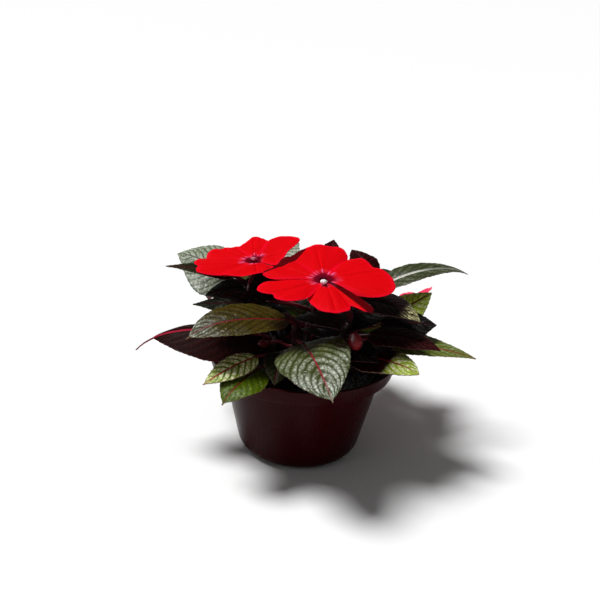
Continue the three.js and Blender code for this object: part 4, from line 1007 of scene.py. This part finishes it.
def make_bud(name):
    """A bud on its stalk: a pointed body with seams, between two small sepals."""
    stem, share, outward, path, radius, length, way = BUDS[name]
    shape = Shape()
    add_tube(shape, smooth_curve(stalk_start(stem, share, outward) + path, 40), BUD_STALK_RADIUS)
    way = unit(way)
    side = unit(np.cross(way, np.array([0.3, 1, 0.2])))
    other = np.cross(way, side)
    seat = np.array(path[-1], float)
    rows, sides = 30, 32
    turns = turns_of(sides)
    round_about = np.cos(turns)[:, None] * side + np.sin(turns)[:, None] * other
    points = []
    for s in np.linspace(0, 1, rows):
        r = 0.3 + radius * math.sin(math.pi * min(1, 0.12 + 0.86 * s)) ** 0.8
        seams = 1 + 0.07 * np.abs(np.sin(2.5 * turns + 2.2 * s)) - 0.04
        points.append(seat + way * lerp(-0.5, length, s) + (r * seams)[:, None] * round_about)
    shape.add(np.concatenate(points), grid_faces(rows, sides, closed=True) + end_faces(rows, sides), 1)
    u, v = sheet(14, 9)
    half = radius * 0.5 * np.sin(math.pi * np.minimum(u * 0.94 + 0.04, 1)) ** 0.7 + 0.05
    out = radius * np.sin(math.pi * np.minimum(1, 0.12 + 0.5 * u)) ** 0.8 + 0.45
    for k in (-1, 1):
        place = seat + way * (u * length * 0.42)[..., None] + side * (k * out)[..., None]
        place = place + other * (v * half)[..., None]
        add_slab(shape, place, place - side * k * BUD_SEPAL_THICKNESS, (0, 0))
    place_piece(shape.build(name + "_shell", [STALK, BUD]), name)


make_pot()
make_soil()
for stem_name in STEMS:
    make_stem(stem_name)
make_leaves()
for bloom_name, bloom_data in BLOOMS.items():
    bloom = Bloom(bloom_name, bloom_data)
    bloom.petals()
    bloom.column()
    bloom.stalk()
for bud_name in BUDS:
    make_bud(bud_name)

# ---- stage, lights and camera


def make_floor():
    bpy.ops.mesh.primitive_circle_add(vertices=64, radius=60, fill_type="NGON")
    floor = bpy.context.object
    floor.name = "floor"
    g = Graph("floor_paper")
    paper = g.finish(Base_Color=(0.93, 0.93, 0.93), Roughness=0.8, Specular_IOR_Level=0.2)
    floor.data.materials.append(paper)


def add_lamp(name, kind, place, target, **settings):
    """A lamp at a place, turned to its target."""
    light = bpy.data.lights.new(name, kind)
    for key, value in settings.items():
        setattr(light, key, value)
    obj = bpy.data.objects.new(name, light)
    obj.location = place
    obj.rotation_euler = (Vector(target) - Vector(place)).to_track_quat("-Z", "Y").to_euler()
    bpy.context.scene.collection.objects.link(obj)
    return obj


def make_camera():
    """The view from 480 mm in front of a point 30 mm up the pot's axis, 27.9 degrees above it."""
    distance, height, target = 480 * MM, 30 * MM, Vector((-3.5, 0, 88)) * MM
    rise, lean = math.radians(27.9), math.radians(3.45)
    spot = Vector((0, -math.cos(rise) * distance, height + math.sin(rise) * distance))
    ahead = (target - spot).normalized()
    right = ahead.cross(Vector((0, 0, 1))).normalized()
    up = right.cross(ahead)
    across = right * math.cos(lean) + up * math.sin(lean)
    upward = up * math.cos(lean) - right * math.sin(lean)
    camera = bpy.data.cameras.new("camera")
    camera.lens, camera.sensor_width = 50, 36
    camera.clip_start = 0.01
    obj = bpy.data.objects.new("camera", camera)
    obj.matrix_world = Matrix.Translation(spot) @ Matrix((across, upward, -ahead)).transposed().to_4x4()
    bpy.context.scene.collection.objects.link(obj)
    bpy.context.scene.camera = obj


make_floor()
add_lamp("key", "SUN", (-0.42, 0.03, 1), (0, 0, 0), energy=3.4, angle=math.radians(20))
# A strip that only gloss sees: it draws small highlights on leaves and buds and lights nothing.
strip = add_lamp(
    "glint_strip", "AREA", (-0.3, -0.3, 0.2), (-0.02, 0, 0.035),
    shape="RECTANGLE", size=0.03, size_y=0.12, energy=3,
)
strip.visible_diffuse = False
world = bpy.data.worlds.new("world")
world.use_nodes = True
background = world.node_tree.nodes["Background"]
background.inputs["Color"].default_value = (1, 1, 1, 1)
background.inputs["Strength"].default_value = 0.12
bpy.context.scene.world = world
bpy.context.scene.view_settings.view_transform = "Standard"
make_camera()
